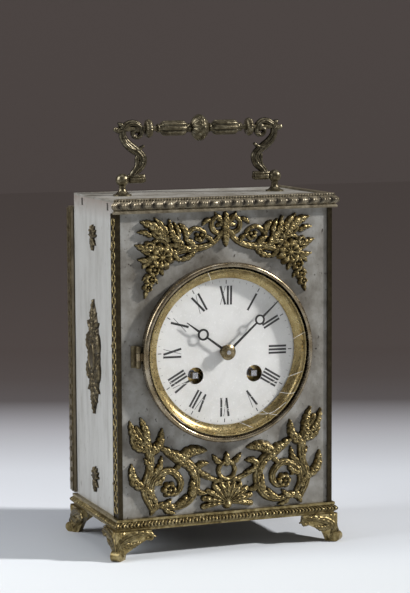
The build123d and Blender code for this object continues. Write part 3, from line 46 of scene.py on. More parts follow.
def finish(name, tones, metallic, rough, scale, stretch=(1, 1, 1), bump=0.08, fine=900.0, recess_shade=None,
           specks=None, stain=None):
    """A worn surface: broad clouds of colour, a fine grain and painted shade that darkens the hollows."""
    m = bpy.data.materials.new(name)
    m.use_nodes = True
    t = m.node_tree
    b = t.nodes["Principled BSDF"]
    b.inputs["Metallic"].default_value = metallic
    place = t.nodes.new("ShaderNodeTexCoord")
    mapping = t.nodes.new("ShaderNodeMapping")
    mapping.inputs["Scale"].default_value = stretch
    t.links.new(place.outputs["Object"], mapping.inputs["Vector"])
    cloud = t.nodes.new("ShaderNodeTexNoise")
    cloud.inputs["Scale"].default_value = scale
    cloud.inputs["Detail"].default_value = 8.0
    cloud.inputs["Roughness"].default_value = 0.62
    t.links.new(mapping.outputs["Vector"], cloud.inputs["Vector"])
    ramp = t.nodes.new("ShaderNodeValToRGB")
    ramp.color_ramp.elements[0].position = 0.3
    ramp.color_ramp.elements[0].color = (*tones[0], 1)
    ramp.color_ramp.elements[1].position = 0.72
    ramp.color_ramp.elements[1].color = (*tones[-1], 1)
    if len(tones) == 3:
        ramp.color_ramp.elements.new(0.5).color = (*tones[1], 1)
    t.links.new(cloud.outputs["Fac"], ramp.inputs["Fac"])
    colour = ramp.outputs["Color"]
    # Painted shade: a per-vertex amount, high in recesses, mixes the colour toward a dark tone.
    if recess_shade:
        depth = t.nodes.new("ShaderNodeAttribute")
        depth.attribute_name = "recess_shade"
        shade_in_recesses = t.nodes.new("ShaderNodeMix")
        shade_in_recesses.data_type = "RGBA"
        shade_in_recesses.inputs[7].default_value = (*recess_shade, 1)
        t.links.new(depth.outputs["Fac"], shade_in_recesses.inputs[0])
        t.links.new(colour, shade_in_recesses.inputs[6])
        colour = shade_in_recesses.outputs[2]
    if specks:
        spots = t.nodes.new("ShaderNodeTexNoise")
        spots.inputs["Scale"].default_value = specks[0]
        spots.inputs["Detail"].default_value = 3.0
        t.links.new(mapping.outputs["Vector"], spots.inputs["Vector"])
        pick = t.nodes.new("ShaderNodeMapRange")
        pick.inputs["From Min"].default_value = specks[1]
        pick.inputs["From Max"].default_value = specks[1] + 0.08
        t.links.new(spots.outputs["Fac"], pick.inputs["Value"])
        dark = t.nodes.new("ShaderNodeMix")
        dark.data_type = "RGBA"
        dark.inputs[7].default_value = (*specks[2], 1)
        t.links.new(pick.outputs["Result"], dark.inputs[0])
        t.links.new(colour, dark.inputs[6])
        colour = dark.outputs[2]
    if stain:
        apart = t.nodes.new("ShaderNodeSeparateXYZ")
        t.links.new(place.outputs["Object"], apart.inputs["Vector"])
        near = t.nodes.new("ShaderNodeMapRange")
        near.inputs["From Min"].default_value = stain[1]
        near.inputs["From Max"].default_value = stain[2]
        near.inputs["To Max"].default_value = stain[3]
        t.links.new(apart.outputs[stain[0]], near.inputs["Value"])
        patch = t.nodes.new("ShaderNodeMath")
        patch.operation = "MULTIPLY"
        t.links.new(near.outputs["Result"], patch.inputs[0])
        t.links.new(cloud.outputs["Fac"], patch.inputs[1])
        brown = t.nodes.new("ShaderNodeMix")
        brown.data_type = "RGBA"
        brown.inputs[7].default_value = (0.16, 0.08, 0.035, 1)
        t.links.new(patch.outputs["Value"], brown.inputs[0])
        t.links.new(colour, brown.inputs[6])
        colour = brown.outputs[2]
    t.links.new(colour, b.inputs["Base Color"])
    grain = t.nodes.new("ShaderNodeTexNoise")
    grain.inputs["Scale"].default_value = fine
    grain.inputs["Detail"].default_value = 4.0
    t.links.new(mapping.outputs["Vector"], grain.inputs["Vector"])
    spread = t.nodes.new("ShaderNodeMapRange")
    spread.inputs["From Min"].default_value = 0.25
    spread.inputs["From Max"].default_value = 0.75
    spread.inputs["To Min"].default_value = rough - 0.1
    spread.inputs["To Max"].default_value = rough + 0.1
    t.links.new(grain.outputs["Fac"], spread.inputs["Value"])
    t.links.new(spread.outputs["Result"], b.inputs["Roughness"])
    relief = t.nodes.new("ShaderNodeBump")
    relief.inputs["Strength"].default_value = bump
    relief.inputs["Distance"].default_value = 0.0004
    t.links.new(grain.outputs["Fac"], relief.inputs["Height"])
    t.links.new(relief.outputs["Normal"], b.inputs["Normal"])
    return m


def coat(material, *names):
    for n in names:
        mesh = nodes[n].data
        mesh.materials.clear()
        mesh.materials.append(material)


# Painted shade on the front copy: it is the darkest, and its darkest clouds stand in partly for the bezel's cast
# shadow. Painted light on the side copy, the lightest; the top copy lies between.
silvered = finish("silvered_front_painted_shade", [(0.08, 0.066, 0.048), (0.235, 0.222, 0.197), (0.42, 0.415, 0.395)],
                  0.3, 0.42, 52.0, (1, 1, 0.8), 0.16, 900.0, None, (420.0, 0.64, (0.05, 0.04, 0.03)))
silvered_side_painted_light = finish("silvered_side_painted_light", [(0.4, 0.39, 0.36), (0.5, 0.495, 0.47), (0.56, 0.555, 0.53)],
                       0.3, 0.5, 75.0, (1, 2.4, 0.45), 0.14, 900.0, None, (260.0, 0.68, (0.2, 0.17, 0.13)),
                       ("Z", 0.186, 0.1975, 1.1))
silvered_top_painted_light = finish("silvered_top_painted_light", [(0.2, 0.18, 0.14), (0.34, 0.325, 0.29), (0.48, 0.47, 0.44)],
                      0.3, 0.42, 50.0, (1, 1, 1), 0.14, 900.0, None, (300.0, 0.64, (0.08, 0.06, 0.04)))
coat(silvered, "front_panel")
coat(silvered_side_painted_light, "left_side_panel", "right_side_panel")
coat(silvered_top_painted_light, "top_panel")
inside_sheet = finish("inside_sheet", [(0.14, 0.12, 0.09), (0.22, 0.2, 0.16)], 0.6, 0.55, 60.0)
coat(inside_sheet, "base_plate", "rear_frame")

# The gilt brass of the fittings: cast and chased, mercury gilt, with painted shade darkening
# every hollow. The feet screws, pins, hinge leaves and plain rings keep their turned forms.
gilt = finish("old_gilding", [(0.1, 0.07, 0.026), (0.27, 0.205, 0.085), (0.52, 0.43, 0.23)],
              0.8, 0.34, 330.0, (1, 1, 1), 0.3, 1500.0, (0.014, 0.0095, 0.0045))
olive = finish("handle_gilding", [(0.05, 0.04, 0.022), (0.12, 0.1, 0.06), (0.3, 0.265, 0.18)],
               0.8, 0.33, 420.0, (1, 1, 1), 0.25, 1500.0, (0.01, 0.008, 0.005))
bronze = finish("dull_bronze", [(0.06, 0.045, 0.025), (0.14, 0.11, 0.06), (0.27, 0.225, 0.14)],
                0.75, 0.4, 380.0, (1, 1, 1), 0.3, 1500.0, (0.014, 0.01, 0.006))
polished = finish("polished_gilding", [(0.2, 0.14, 0.055), (0.32, 0.245, 0.11), (0.45, 0.375, 0.21)],
                  0.85, 0.3, 120.0, (1, 1, 1), 0.03)
worn_rim = finish("worn_silvered_rim", [(0.12, 0.085, 0.045), (0.24, 0.19, 0.12), (0.42, 0.37, 0.29)],
                  0.9, 0.25, 90.0, (1, 1, 1), 0.03)
# The hinge leaves and pins take this dark bronze partly so that the bezel hinge sinks into the shade beside the
# bezel: in part painted shade.
coat(bronze, "hinge_leaves", "hinge_pins", "panel_pins", "door_turn_button", "foot_screws", "post_nuts",
     "door_strips")
coat(polished, "sight_ring")
coat(worn_rim, "bezel")
coat(finish("door_brass", [(0.1, 0.08, 0.05), (0.2, 0.165, 0.11), (0.3, 0.26, 0.19)], 0.7, 0.48, 50.0),
     "rear_door")

# The movement behind the dial: brass plates, barrels and wheels, steel arbors and hammer,
# a bell of pale bell metal and the small platform with its balance.
brass = finish("movement_brass", [(0.48, 0.34, 0.13), (0.62, 0.46, 0.19), (0.7, 0.55, 0.27)],
               0.95, 0.3, 80.0, (1, 1, 1), 0.06)
bell_metal = finish("bell_metal", [(0.5, 0.44, 0.3), (0.62, 0.56, 0.42)], 0.95, 0.22, 60.0)
steel = finish("polished_steel", [(0.3, 0.3, 0.31), (0.46, 0.46, 0.48)], 0.95, 0.28, 300.0)
coat(brass, "dial_plate", "movement_front_plate", "movement_back_plate", "going_barrel", "strike_barrel",
     "minute_wheel", "hour_wheel", "platform_escapement", "balance_wheel")
coat(bell_metal, "bell")
coat(steel, "going_winding_arbor", "strike_winding_arbor", "centre_arbor", "hammer")


# The castings on the front: an upper garland of scrolls, leaves and flower drops, and lower
# spirals joined by a ring and a shell. Each was cast, chased, gilt and pinned to the panel.
def smooth_line(points, count=14):
    """Points along a flowing line through the given points."""
    p = np.array(points, float)
    q = np.vstack([2 * p[0] - p[1], p, 2 * p[-1] - p[-2]])
    t = np.linspace(0, 1, count, endpoint=False)[:, None]
    run = []
    for i in range(len(p) - 1):
        a, b, c, d = q[i:i + 4]
        run.append(0.5 * (2 * b + (c - a) * t + (2 * a - 5 * b + 4 * c - d) * t ** 2
                          + (3 * b - a - 3 * c + d) * t ** 3))
    return np.vstack(run + [p[-1:]])


class Casting:
    """A thin casting modelled as a raised surface over a plane, in millimetres."""

    def __init__(self, low, high, step, full=1.0):
        self.full = full
        self.ripple = 0.08
        self.u = np.arange(low[0], high[0] + step, step)
        self.v = np.arange(low[1], high[1] + step, step)
        self.U, self.V = np.meshgrid(self.u, self.v, indexing="ij")
        self.h = np.zeros_like(self.U)
        self.step = step

    def run(self, line, width, rise, cut):
        """Raises a band along a line; width and rise go by the share of the way, cut by place."""
        length = np.concatenate([[0], np.cumsum(np.hypot(*np.diff(line, axis=0).T))])
        share = length / length[-1]
        for i in range(len(line) - 1):
            a, b = line[i], line[i + 1]
            reach = max(width(share[i]), width(share[i + 1])) / 2 + self.step
            iu = slice(*np.searchsorted(self.u, [min(a[0], b[0]) - reach, max(a[0], b[0]) + reach]))
            iv = slice(*np.searchsorted(self.v, [min(a[1], b[1]) - reach, max(a[1], b[1]) + reach]))
            U, V = self.U[iu, iv], self.V[iu, iv]
            if U.size == 0:
                continue
            d = b - a
            n = max(float(d @ d), 1e-9)
            t = np.clip(((U - a[0]) * d[0] + (V - a[1]) * d[1]) / n, 0, 1)
            off = ((U - a[0]) * d[1] - (V - a[1]) * d[0]) / math.sqrt(n)
            away = np.hypot(U - a[0] - t * d[0], V - a[1] - t * d[1])
            s = share[i] + t * (share[i + 1] - share[i])
            half = np.maximum(width(s) / 2, 1e-3)
            r = away / half
            side = np.sign(off) * np.minimum(r, 1)
            lift = rise(s) * np.sqrt(np.clip(1 - r * r, 0, 1)) * cut(s, side, s * length[-1])
            self.h[iu, iv] = np.maximum(self.h[iu, iv], lift)

    def stem(self, points, widths, rise=2.6, groove=0.42):
        line = smooth_line(points)
        at = np.linspace(0, 1, len(widths))
        self.run(line, lambda s: self.full * np.interp(s, at, widths),
                 lambda s: rise * (0.8 + 0.2 * np.sin(np.pi * s)),
                 lambda s, r, mm: 1 - groove * (np.exp(-((r - 0.36) / 0.15) ** 2)
                                                + np.exp(-((r + 0.36) / 0.15) ** 2))
                 - self.ripple * np.cos(2 * np.pi * mm / 3.1 + 3.0 * np.abs(r)))

    def leaf(self, base, tip, width, rise=3.6, bend=0.0, lobes=4):
        base, tip = np.array(base, float), np.array(tip, float)
        d = tip - base
        middle = base + 0.5 * d + bend * np.array([-d[1], d[0]])
        line = smooth_line([base, middle, tip], 12)

        def leaf_width(s):
            s = np.asarray(s)
            body = np.sin(np.pi * np.clip(0.14 + 0.84 * s, 0, 1) ** 0.9) ** 0.6
            return np.maximum(0.84 * self.full * width * body
                              * (0.66 + 0.44 * np.abs(np.sin((lobes + 0.5) * np.pi * s))), 0.8)

        self.run(line, leaf_width, lambda s: rise * (0.55 + 0.45 * np.sin(np.pi * (0.25 + 0.6 * s))),
                 lambda s, r, mm: (1 - 0.55 * np.exp(-(r / 0.16) ** 2))
                 * (0.8 + 0.2 * np.cos(2 * np.pi * ((lobes + 0.5) * s - 1.0 * np.abs(r)))))

    def bead(self, centre, radius, rise):
        r = np.hypot(self.U - centre[0], self.V - centre[1]) / radius
        self.h = np.maximum(self.h, rise * np.sqrt(np.clip(1 - r * r, 0, 1)))

    def flower(self, centre, radius, rise, petals=7, turn=0.0):
        x, y = self.U - centre[0], self.V - centre[1]
        r = np.hypot(x, y) / radius
        a = np.arctan2(y, x) + turn
        petal = np.abs(np.cos(petals * a / 2))
        edge = 0.8 + 0.2 * petal
        cup = np.clip(1 - (r / edge) ** 4, 0, 1) ** 0.5
        rows = 0.62 + 0.2 * petal + 0.18 * np.cos(3.3 * np.pi * r)
        self.h = np.maximum(self.h, rise * cup * rows)
        self.bead(centre, 0.24 * radius, 1.08 * rise)

    def mirror_across(self):
        self.h = np.maximum(self.h, self.h[::-1, :])

    def piece(self, name, place, material, body, both=False, floor_at=0.12):
        """Turns the raised surface into a closed mesh; place gives the point of (u, v, height)."""
        h = self.h
        mean = h.copy()
        for _ in range(5):
            pad = np.pad(mean, 1, mode="edge")
            mean = (pad[:-2, 1:-1] + pad[2:, 1:-1] + pad[1:-1, :-2] + pad[1:-1, 2:] + 2 * mean) / 6
        # Painted shade: darker where the surface lies below its smoothed neighbours and where it lies low near
        # the panel.
        recess_shade = np.clip(0.74 + 2.0 * (mean - h) - 0.12 * h, 0, 1)
        top = np.maximum(np.maximum(h[:-1, :-1], h[1:, :-1]), np.maximum(h[:-1, 1:], h[1:, 1:]))
        cells = np.argwhere(top > floor_at)
        index = -np.ones(h.shape, int)
        corner = np.zeros(h.shape, bool)
        for du in (0, 1):
            for dv in (0, 1):
                corner[cells[:, 0] + du, cells[:, 1] + dv] = True
        used = np.argwhere(corner)
        index[used[:, 0], used[:, 1]] = np.arange(len(used))
        U, V, H = self.U[corner], self.V[corner], np.maximum(h[corner], 0.05)
        count = len(used)
        back = -H if both else np.full(count, -0.04)
        verts = np.vstack([place(U, V, H), place(U, V, back)])
        i, j = cells[:, 0], cells[:, 1]
        quads = np.stack([index[i, j], index[i + 1, j], index[i + 1, j + 1], index[i, j + 1]], 1)
        faces = [tuple(q) for q in quads.tolist()]
        faces += [(a + count, d + count, c + count, b + count) for a, b, c, d in quads.tolist()]
        edges = {}
        for q in quads.tolist():
            for a, b in zip(q, q[1:] + q[:1]):
                if (b, a) in edges:
                    del edges[(b, a)]
                else:
                    edges[(a, b)] = True
        faces += [(b, a, a + count, b + count) for a, b in edges]
        return solid(name, verts, faces, material, body, np.concatenate([recess_shade[corner]] * 2))


def solid(name, verts, faces, material, body, recess_shade=None, smooth=True):
    """A mesh from points in millimetres, riding on one body of the frame."""
    mesh = bpy.data.meshes.new(name)
    mesh.from_pydata((np.asarray(verts, float) * MM).tolist(), [], faces)
    work = bmesh.new()
    work.from_mesh(mesh)
    bmesh.ops.recalc_face_normals(work, faces=work.faces)
    work.to_mesh(mesh)
    work.free()
    # Stores the per-point amount of painted shade that the material reads.
    if recess_shade is not None:
        depth = mesh.attributes.new("recess_shade", "FLOAT", "POINT")
        depth.data.foreach_set("value", np.asarray(recess_shade, np.float32))
    mesh.polygons.foreach_set("use_smooth", [smooth] * len(mesh.polygons))
    mesh.materials.append(material)
    obj = bpy.data.objects.new(name, mesh)
    bpy.context.scene.collection.objects.link(obj)
    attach(obj, body)
    return obj


def on_front(U, V, H):
    return np.stack([U, -38.0 - H, V], 1)


garland = Casting((-55.0, 142.0), (55.0, 190.4), 0.27, 1.2)
garland.stem([(2, 178.4), (7.5, 173.2), (15, 170.6), (24, 170.2), (31, 167.8)], [2.6, 2.6, 3.4, 4.4, 3])
garland.stem([(20, 171.5), (23.4, 176.5), (18.4, 181.3), (12.4, 178.6), (14.4, 174.6), (17.2, 175.6)],
             [2.6, 2.4, 2.2, 2.0, 1.8, 2.2])
garland.stem([(1.5, 177.5), (7.2, 179.6), (8.4, 184.6), (4.2, 187.4), (2.4, 183.8), (4.8, 182.6)],
             [2.2, 2.6, 2.4, 2.2, 1.9, 2.2])
garland.stem([(33.5, 175.2), (38, 176), (42.6, 179.6), (40.4, 183), (37.6, 180.6), (39.6, 179)],
             [2.4, 2.4, 2.2, 2.0, 1.8, 1.8])
garland.stem([(31, 168.4), (36.4, 174.8), (41.6, 175), (42.6, 171.6), (39.8, 170.8)], [2.8, 2.4, 2, 1.8, 1.8])
garland.leaf((22.4, 169.5), (35.5, 172.6), 4.6, 3.2, 0.12, 4)
garland.leaf((17, 170.4), (30.6, 164.4), 3.6, 2.8, -0.15, 5)
garland.leaf((25.5, 172), (33.4, 186.4), 4.6, 4.2, -0.14, 4)
garland.leaf((22.8, 176.5), (27.4, 184.2), 4.0, 3.2, 0.1, 3)
garland.leaf((36, 176), (49.4, 185.8), 6.0, 3.9, 0.12, 4)
garland.leaf((40.5, 171.5), (52.6, 173.2), 4.8, 3.7, -0.1, 4)
garland.leaf((41, 168.5), (51.2, 165.2), 4.2, 3.2, -0.2, 3)
garland.leaf((31, 170), (27.5, 164), 3.6, 2.8, 0.1, 3)
for base, tip, wide in (((8, 173), (13, 177.4), 2.8), ((19, 172), (24.6, 175.4), 3.4),
                        ((28, 172), (31.4, 179), 3.4),
                        ((34.6, 174), (41.6, 187.6), 4.4),
                        ((9.6, 186), (13.8, 183), 2.6), ((28.4, 175), (30.6, 185), 3.6),
                        ((44, 178), (51.4, 180.2), 3.2), ((40.6, 163), (49.4, 170), 3.2)):
    garland.leaf(base, tip, wide, 3.4, 0.12, 3)
for x, z in ((16, 176), (14.6, 177.6), (17.4, 177.9), (38.9, 179.8), (40.2, 172.2)):
    garland.bead((x, z), 1.15, 3.4)
garland.leaf((0.2, 180), (5.6, 175.4), 3.0, 2.6, 0.1, 3)
garland.flower((38, 166.3), 8.0, 5.1, 9)
garland.flower((42.6, 159.6), 4.2, 4.7, 6)
garland.flower((44.4, 154.4), 3.9, 4.4, 5, 0.5)
garland.flower((46, 149.9), 3.1, 4.0, 5)
garland.flower((45.2, 172.2), 3.4, 4.2, 5, 0.2)
garland.flower((33.4, 178.8), 2.9, 4.2, 5, 0.7)
garland.leaf((46.2, 150), (47.6, 144.2), 2.6, 3.0, 0, 2)
garland.leaf((39, 161), (37, 156.4), 3.0, 2.6, 0, 3)
garland.leaf((43.6, 163), (48.6, 160.6), 3.2, 2.8, 0.2, 3)
garland.leaf((42.4, 156), (40.2, 152), 2.2, 2.4, 0, 2)
garland.leaf((45.6, 157), (48.6, 154), 2.2, 2.4, 0, 2)
garland.mirror_across()
garland.leaf((0, 178), (0, 190.3), 4.4, 4.0, 0, 5)
garland.leaf((0, 181.5), (0, 170.8), 4.4, 3.8, 0, 5)
garland.leaf((-1, 184), (-6.2, 189.6), 3.0, 3.0, 0.1, 3)
garland.leaf((1, 184), (6.2, 189.6), 3.0, 3.0, -0.1, 3)
garland.bead((0, 181.5), 1.9, 4.4)
crest = garland.piece("front_garland", on_front, gilt, "case")
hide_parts("upper_garland")

spirals = Casting((-58.0, 23.0), (58.0, 79.0), 0.27, 1.32)
spirals.stem([(43, 27), (38.6, 29), (31.2, 27), (23.6, 29.5), (18.9, 36.3), (18.8, 44.4), (22.5, 50.1),
              (29.1, 54.1), (35.6, 57.7)], [2.4, 2.8, 3.2, 3.6, 3.8, 4.0, 4.6, 4.6, 2.2], 3.0)
spirals.stem([(42.3, 31), (45, 36.4), (43.6, 42.9), (38.5, 46.9), (32.6, 47.2), (28, 42.4), (27.9, 37.6),
              (31.6, 34.6), (35.6, 36)], [2.2, 3.2, 3.4, 3.4, 3.2, 3.2, 3.0, 2.8, 2.6], 3.0)
spirals.stem([(44.6, 27.6), (47.9, 35), (48.2, 41), (45.8, 48), (45.4, 56), (47.1, 63.6), (53, 72.6)],
             [2.8, 3.6, 3.8, 3.6, 4.0, 4.0, 2.4], 3.2)
spirals.stem([(20.7, 49.9), (15, 44.1), (6.5, 40.3), (1.8, 38.6)], [2.6, 2.4, 2.2, 2.0], 2.4)
spirals.leaf((29, 53), (12.4, 57.6), 6.0, 3.8, -0.14, 6)
spirals.leaf((24, 50.4), (37.2, 58.6), 5.6, 4.0, 0.08, 6)
spirals.leaf((33, 55), (40.6, 60.6), 3.4, 3.2, 0.2, 3)
spirals.leaf((47.6, 38), (56.2, 52.6), 5.2, 3.7, -0.2, 5)
spirals.leaf((46, 46), (38.6, 56), 3.6, 3.0, 0.2, 4)
spirals.leaf((46.2, 57), (38.2, 71.2), 5.0, 3.6, 0.16, 5)
spirals.leaf((47.6, 61), (50.6, 78), 4.6, 4.1, 0.08, 5)
spirals.leaf((48.4, 63), (57, 76.6), 4.2, 3.7, -0.14, 5)
spirals.leaf((47.4, 60), (56.4, 67.4), 4.2, 3.3, -0.15, 4)
spirals.leaf((42, 30), (45.2, 23.8), 3.4, 3.0, 0, 3)
spirals.leaf((38, 28.6), (31, 23.6), 3.2, 2.8, 0.15, 3)
spirals.leaf((19.4, 38), (12.4, 33.4), 3.6, 3.0, 0.2, 4)
spirals.leaf((19, 46), (11.2, 50.4), 3.8, 3.0, -0.2, 4)
spirals.leaf((2.2, 49), (8.4, 54.6), 3.2, 3.0, -0.1, 3)
spirals.leaf((31, 47.6), (26.4, 52.4), 3.0, 2.8, 0, 3)
spirals.leaf((43, 43), (38.6, 40), 2.8, 2.6, 0, 3)
spirals.flower((34.4, 37.2), 4.8, 4.3, 6)
for base, tip, wide in (((40, 28), (33.4, 31.6), 3.4), ((30, 27.6), (24.4, 33.4), 3.8),
                        ((22, 32.6), (21.4, 41.6), 4.0), ((19.2, 42), (24.4, 49.6), 3.8),
                        ((45, 33), (49.8, 40.6), 3.6), ((43.4, 41), (37, 45.6), 3.4),
                        ((18, 47.4), (10.4, 43.6), 3.0), ((45.6, 46), (48.6, 55.4), 3.4),
                        ((46.6, 56), (43.2, 63.4), 3.4)):
    spirals.leaf(base, tip, wide, 3.9, 0.12, 3)
for petal in range(6):
    a = math.radians(-8 + 19.6 * petal)
    long = 14.2 - 3.6 * max(math.sin(a), 0) ** 2
    spirals.stem([(1.6 * math.cos(a), 27.4 + 1.6 * math.sin(a)),
                  (0.55 * long * math.cos(a), 27.6 + 0.5 * long * math.sin(a) + 0.6),
                  (long * math.cos(a), 27.8 + 0.96 * long * math.sin(a))],
                 [1.4, 2.2, 2.9, 2.6], 3.6 + 0.12 * petal, 0.5)
spirals.leaf((3, 40), (8.4, 38.2), 3.2, 2.8, 0.2, 2)
spirals.mirror_across()
spirals.stem([(5.0, 45.7), (3.5, 49.2), (0, 50.7), (-3.5, 49.2), (-5.0, 45.7), (-3.5, 42.2), (0, 40.7),
              (3.5, 42.2), (5.0, 45.7)], [1.9] * 9, 3.0, 0.2)
spirals.leaf((0, 48.6), (0, 55.6), 3.6, 3.4, 0, 3)
spirals.leaf((0, 27), (0, 39), 3.8, 3.6, 0, 1)
spirals.bead((0, 26.4), 2.7, 4.2)
scrolls = spirals.piece("front_scrolls", on_front, gilt, "case")
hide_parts("lower_rinceau")

# The side mounts, alike on both sides: a long one with a plain oval shield between leafy
# ends, and a small shell with a hanging leaf above and below it. Cast, gilt and pinned.
def on_left(U, V, H):
    return np.stack([-63.0 - H, U, V], 1)


def on_right(U, V, H):
    return np.stack([63.0 + H, U, V], 1)


shield = Casting((-11.5, 75.0), (16.7, 139.9), 0.3)
for end in (-1, 1):
    mid = 107.5
    for side in (-1, 1):
        shield.stem([(2.6 + side * 3, mid + end * 2), (2.6 + side * 9.4, mid + end * 5),
                     (2.6 + side * 8.6, mid + end * 11.6), (2.6 + side * 4.6, mid + end * 12.6),
                     (2.6 + side * 5.2, mid + end * 9.4)], [2.0, 3.0, 2.8, 2.2, 1.8], 2.3)
        shield.leaf((2.6 + side * 2, mid + end * 12), (2.6 + side * 8.8, mid + end * 19.6), 4.4, 2.6,
                    side * end * 0.15, 4)
        shield.leaf((2.6, mid + end * 15), (2.6 + side * 4.6, mid + end * 25), 3.4, 2.5, side * end * 0.1, 4)
    shield.leaf((2.6, mid + end * 9), (2.6, mid + end * 32), 5.4, 2.9, 0, 8)
ring = np.hypot((shield.U - 2.6) / 5.0, (shield.V - 107.5) / 8.2)
shield.h = np.where(ring < 0.78, 1.7 + 0.9 * np.sqrt(np.clip(1 - (ring / 0.78) ** 2, 0, 1)), shield.h)
shield.h = np.maximum(shield.h, 2.6 * np.sqrt(np.clip(1 - ((ring - 0.92) / 0.16) ** 2, 0, 1)))
body_plate = 1 - (np.abs(shield.U - 2.6) / 10.6) ** 1.4 - (np.abs(shield.V - 107.5) / 31.0) ** 1.5
shield.h = np.maximum(shield.h, 1.7 * np.clip(body_plate * 6, 0, 1)
                      * (0.8 + 0.2 * np.cos(1.9 * shield.V) * np.cos(2.1 * (shield.U - 2.6))))
shell = Casting((-4.5, 28.5), (9.7, 183.5), 0.25)
for base in (38.2, 175.2):
    for k in range(-3, 4):
        a = math.radians(90 + 29 * k)
        shell.leaf((2.6, base + 0.5), (2.6 + 5.7 * math.cos(a), base + 0.5 + 5.9 * math.sin(a)),
                   2.6, 2.1, 0, 1)
    shell.leaf((2.6, base + 1), (2.6, base - 7.6), 4.6, 2.4, 0, 4)
    shell.leaf((2.6, base - 1), (-1.4, base - 4.4), 2.6, 1.9, 0, 2)
    shell.leaf((2.6, base - 1), (6.6, base - 4.4), 2.6, 1.9, 0, 2)
    shell.bead((2.6, base + 0.6), 1.4, 2.5)
for side, place in (("left", on_left), ("right", on_right)):
    long_mount = shield.piece(side + "_long_mount", place, bronze, "case")
    small_mounts = shell.piece(side + "_small_mounts", place, bronze, "case")
    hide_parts("side_cartouches")
    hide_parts("side_rosettes")


# The mouldings: pressed brass lengths, mitred at the corners. The top one carries eggs in
# a row between hollows darkened with painted shade, under a fine beaded edge, the base one a row of upright
# tongues.
def length_of_moulding(name, section, carve, along, out_of, half, distance, ends, node, metal):
    """Draws a section along one side of the case; ends tell which corners are mitred."""
    section = np.array(section, float)
    turns = int(2 * half / 0.42)
    rows, shade_in_recesses = [], []
    for s in np.linspace(-1, 1, turns + 1):
        cut = carve(s * half, section)
        out = section[:, 0] + cut
        grow = 1.0 + np.where(s > 0, ends[1], ends[0]) * section[:, 0] / half
        rows.append(np.outer(s * half * grow, along) + np.outer(out + distance, out_of)
                    + np.outer(section[:, 1], (0, 0, 1)))
        # Painted shade: the deeper a point is cut in, the darker it is coloured.
        shade_in_recesses.append(np.clip(-1.2 * cut + 0.15, 0, 1))
    n = len(section)
    faces = [(r * n + k, r * n + (k + 1) % n, (r + 1) * n + (k + 1) % n, (r + 1) * n + k)
             for r in range(turns) for k in range(n)]
    faces += [tuple(range(n)), tuple(range(turns * n, turns * n + n))]
    piece = solid(name, np.vstack(rows), faces, metal, "case", np.concatenate(shade_in_recesses), False)
    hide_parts(node)


def arc(a, b, bulge, count):
    a, b = np.array(a, float), np.array(b, float)
    t = np.linspace(0, 1, count)
    off = np.array([b[1] - a[1], a[0] - b[0]])
    return [tuple(a + (b - a) * s + off * bulge * math.sin(math.pi * s)) for s in t]


def top_carving(s, section):
    out, up = section[:, 0], section[:, 1]
    band = np.clip(1 - ((up - 194.9) / 2.3) ** 2, 0, 1) * (out > 2.0)
    egg = (s / 6.2) % 1.0
    row = 0.5 + 0.5 * math.cos(2 * math.pi * egg)
    petals = 0.16 * math.cos(2 * math.pi * 5 * egg)
    beads = np.clip(1 - ((up - 197.6) / 0.8) ** 2, 0, 1) * (out > 1.5)
    pearl = 0.5 + 0.5 * math.cos(math.pi * s / 0.8)
    return -band * (0.95 * (1 - row) ** 2.2 - petals) - beads * 0.45 * pearl


def base_carving(s, section):
    out, up = section[:, 0], section[:, 1]
    band = np.clip(1 - ((up - 19.3) / 1.9) ** 2, 0, 1) * (out > 1.5)
    return -band * 0.95 * (0.5 + 0.5 * math.cos(2 * math.pi * s / 1.9)) ** 2


top_section = ([(-1.6, 197.5), (0, 197.5), (0, 190.5), (3.3, 190.5), (3.3, 191.2), (3.1, 192.0), (2.4, 192.4)]
               + arc((2.4, 192.4), (2.1, 197.3), 0.42, 14)[1:] + [(2.3, 197.7), (2.1, 198.3), (1.7, 198.5),
                                                                (-1.6, 198.5)])
base_section = ([(0, 22.5), (0, 16.0), (2.0, 16.0), (2.0, 17.0)] + arc((2.0, 17.0), (1.9, 21.0), 0.5, 12)[1:]
                + [(2.4, 21.2), (2.4, 22.5)])
dull_gilt = finish("dull_moulding", [(0.11, 0.088, 0.055), (0.22, 0.185, 0.125), (0.38, 0.335, 0.245)],
                   0.65, 0.38, 300.0, (1, 1, 1), 0.25, 1500.0, (0.03, 0.024, 0.016))
length_of_moulding("top_front_eggs", top_section, top_carving, (1, 0, 0), (0, -1, 0), 63.0, 38.0, (1, 1),
                   "top_front_moulding", dull_gilt)
length_of_moulding("top_right_eggs", top_section, top_carving, (0, 1, 0), (1, 0, 0), 38.0, 63.0, (1, 0),
                   "top_right_moulding", dull_gilt)
length_of_moulding("base_front_tongues", base_section, base_carving, (1, 0, 0), (0, -1, 0), 63.0, 38.0,
                   (1, 1), "base_front_moulding", gilt)
length_of_moulding("base_rear_tongues", base_section, base_carving, (1, 0, 0), (0, 1, 0), 63.0, 38.0,
                   (1, 1), "base_rear_moulding", gilt)
length_of_moulding("base_left_tongues", base_section, base_carving, (0, 1, 0), (-1, 0, 0), 38.0, 63.0,
                   (1, 1), "base_left_moulding", gilt)
length_of_moulding("base_right_tongues", base_section, base_carving, (0, 1, 0), (1, 0, 0), 38.0, 63.0,
                   (1, 1), "base_right_moulding", gilt)


# The corner strips: pressed brass angles with a narrow lap on the front and a chain of
# small rings down the side, held by round-headed pins.
def torus_points(centre, a, b, out, ring_radius, wire, around=18, sides=8):
    centre, a, b, out = (np.array(v, float) for v in (centre, a, b, out))
    verts, faces = [], []
    for i in range(around):
        t = 2 * math.pi * i / around
        spoke = math.cos(t) * a + math.sin(t) * b
        for k in range(sides):
            p = 2 * math.pi * k / sides
            verts.append(centre + spoke * (ring_radius + wire * math.cos(p)) + out * wire * math.sin(p))
            faces.append((i * sides + k, i * sides + (k + 1) % sides,
                          ((i + 1) % around) * sides + (k + 1) % sides, ((i + 1) % around) * sides + k))
    return verts, faces


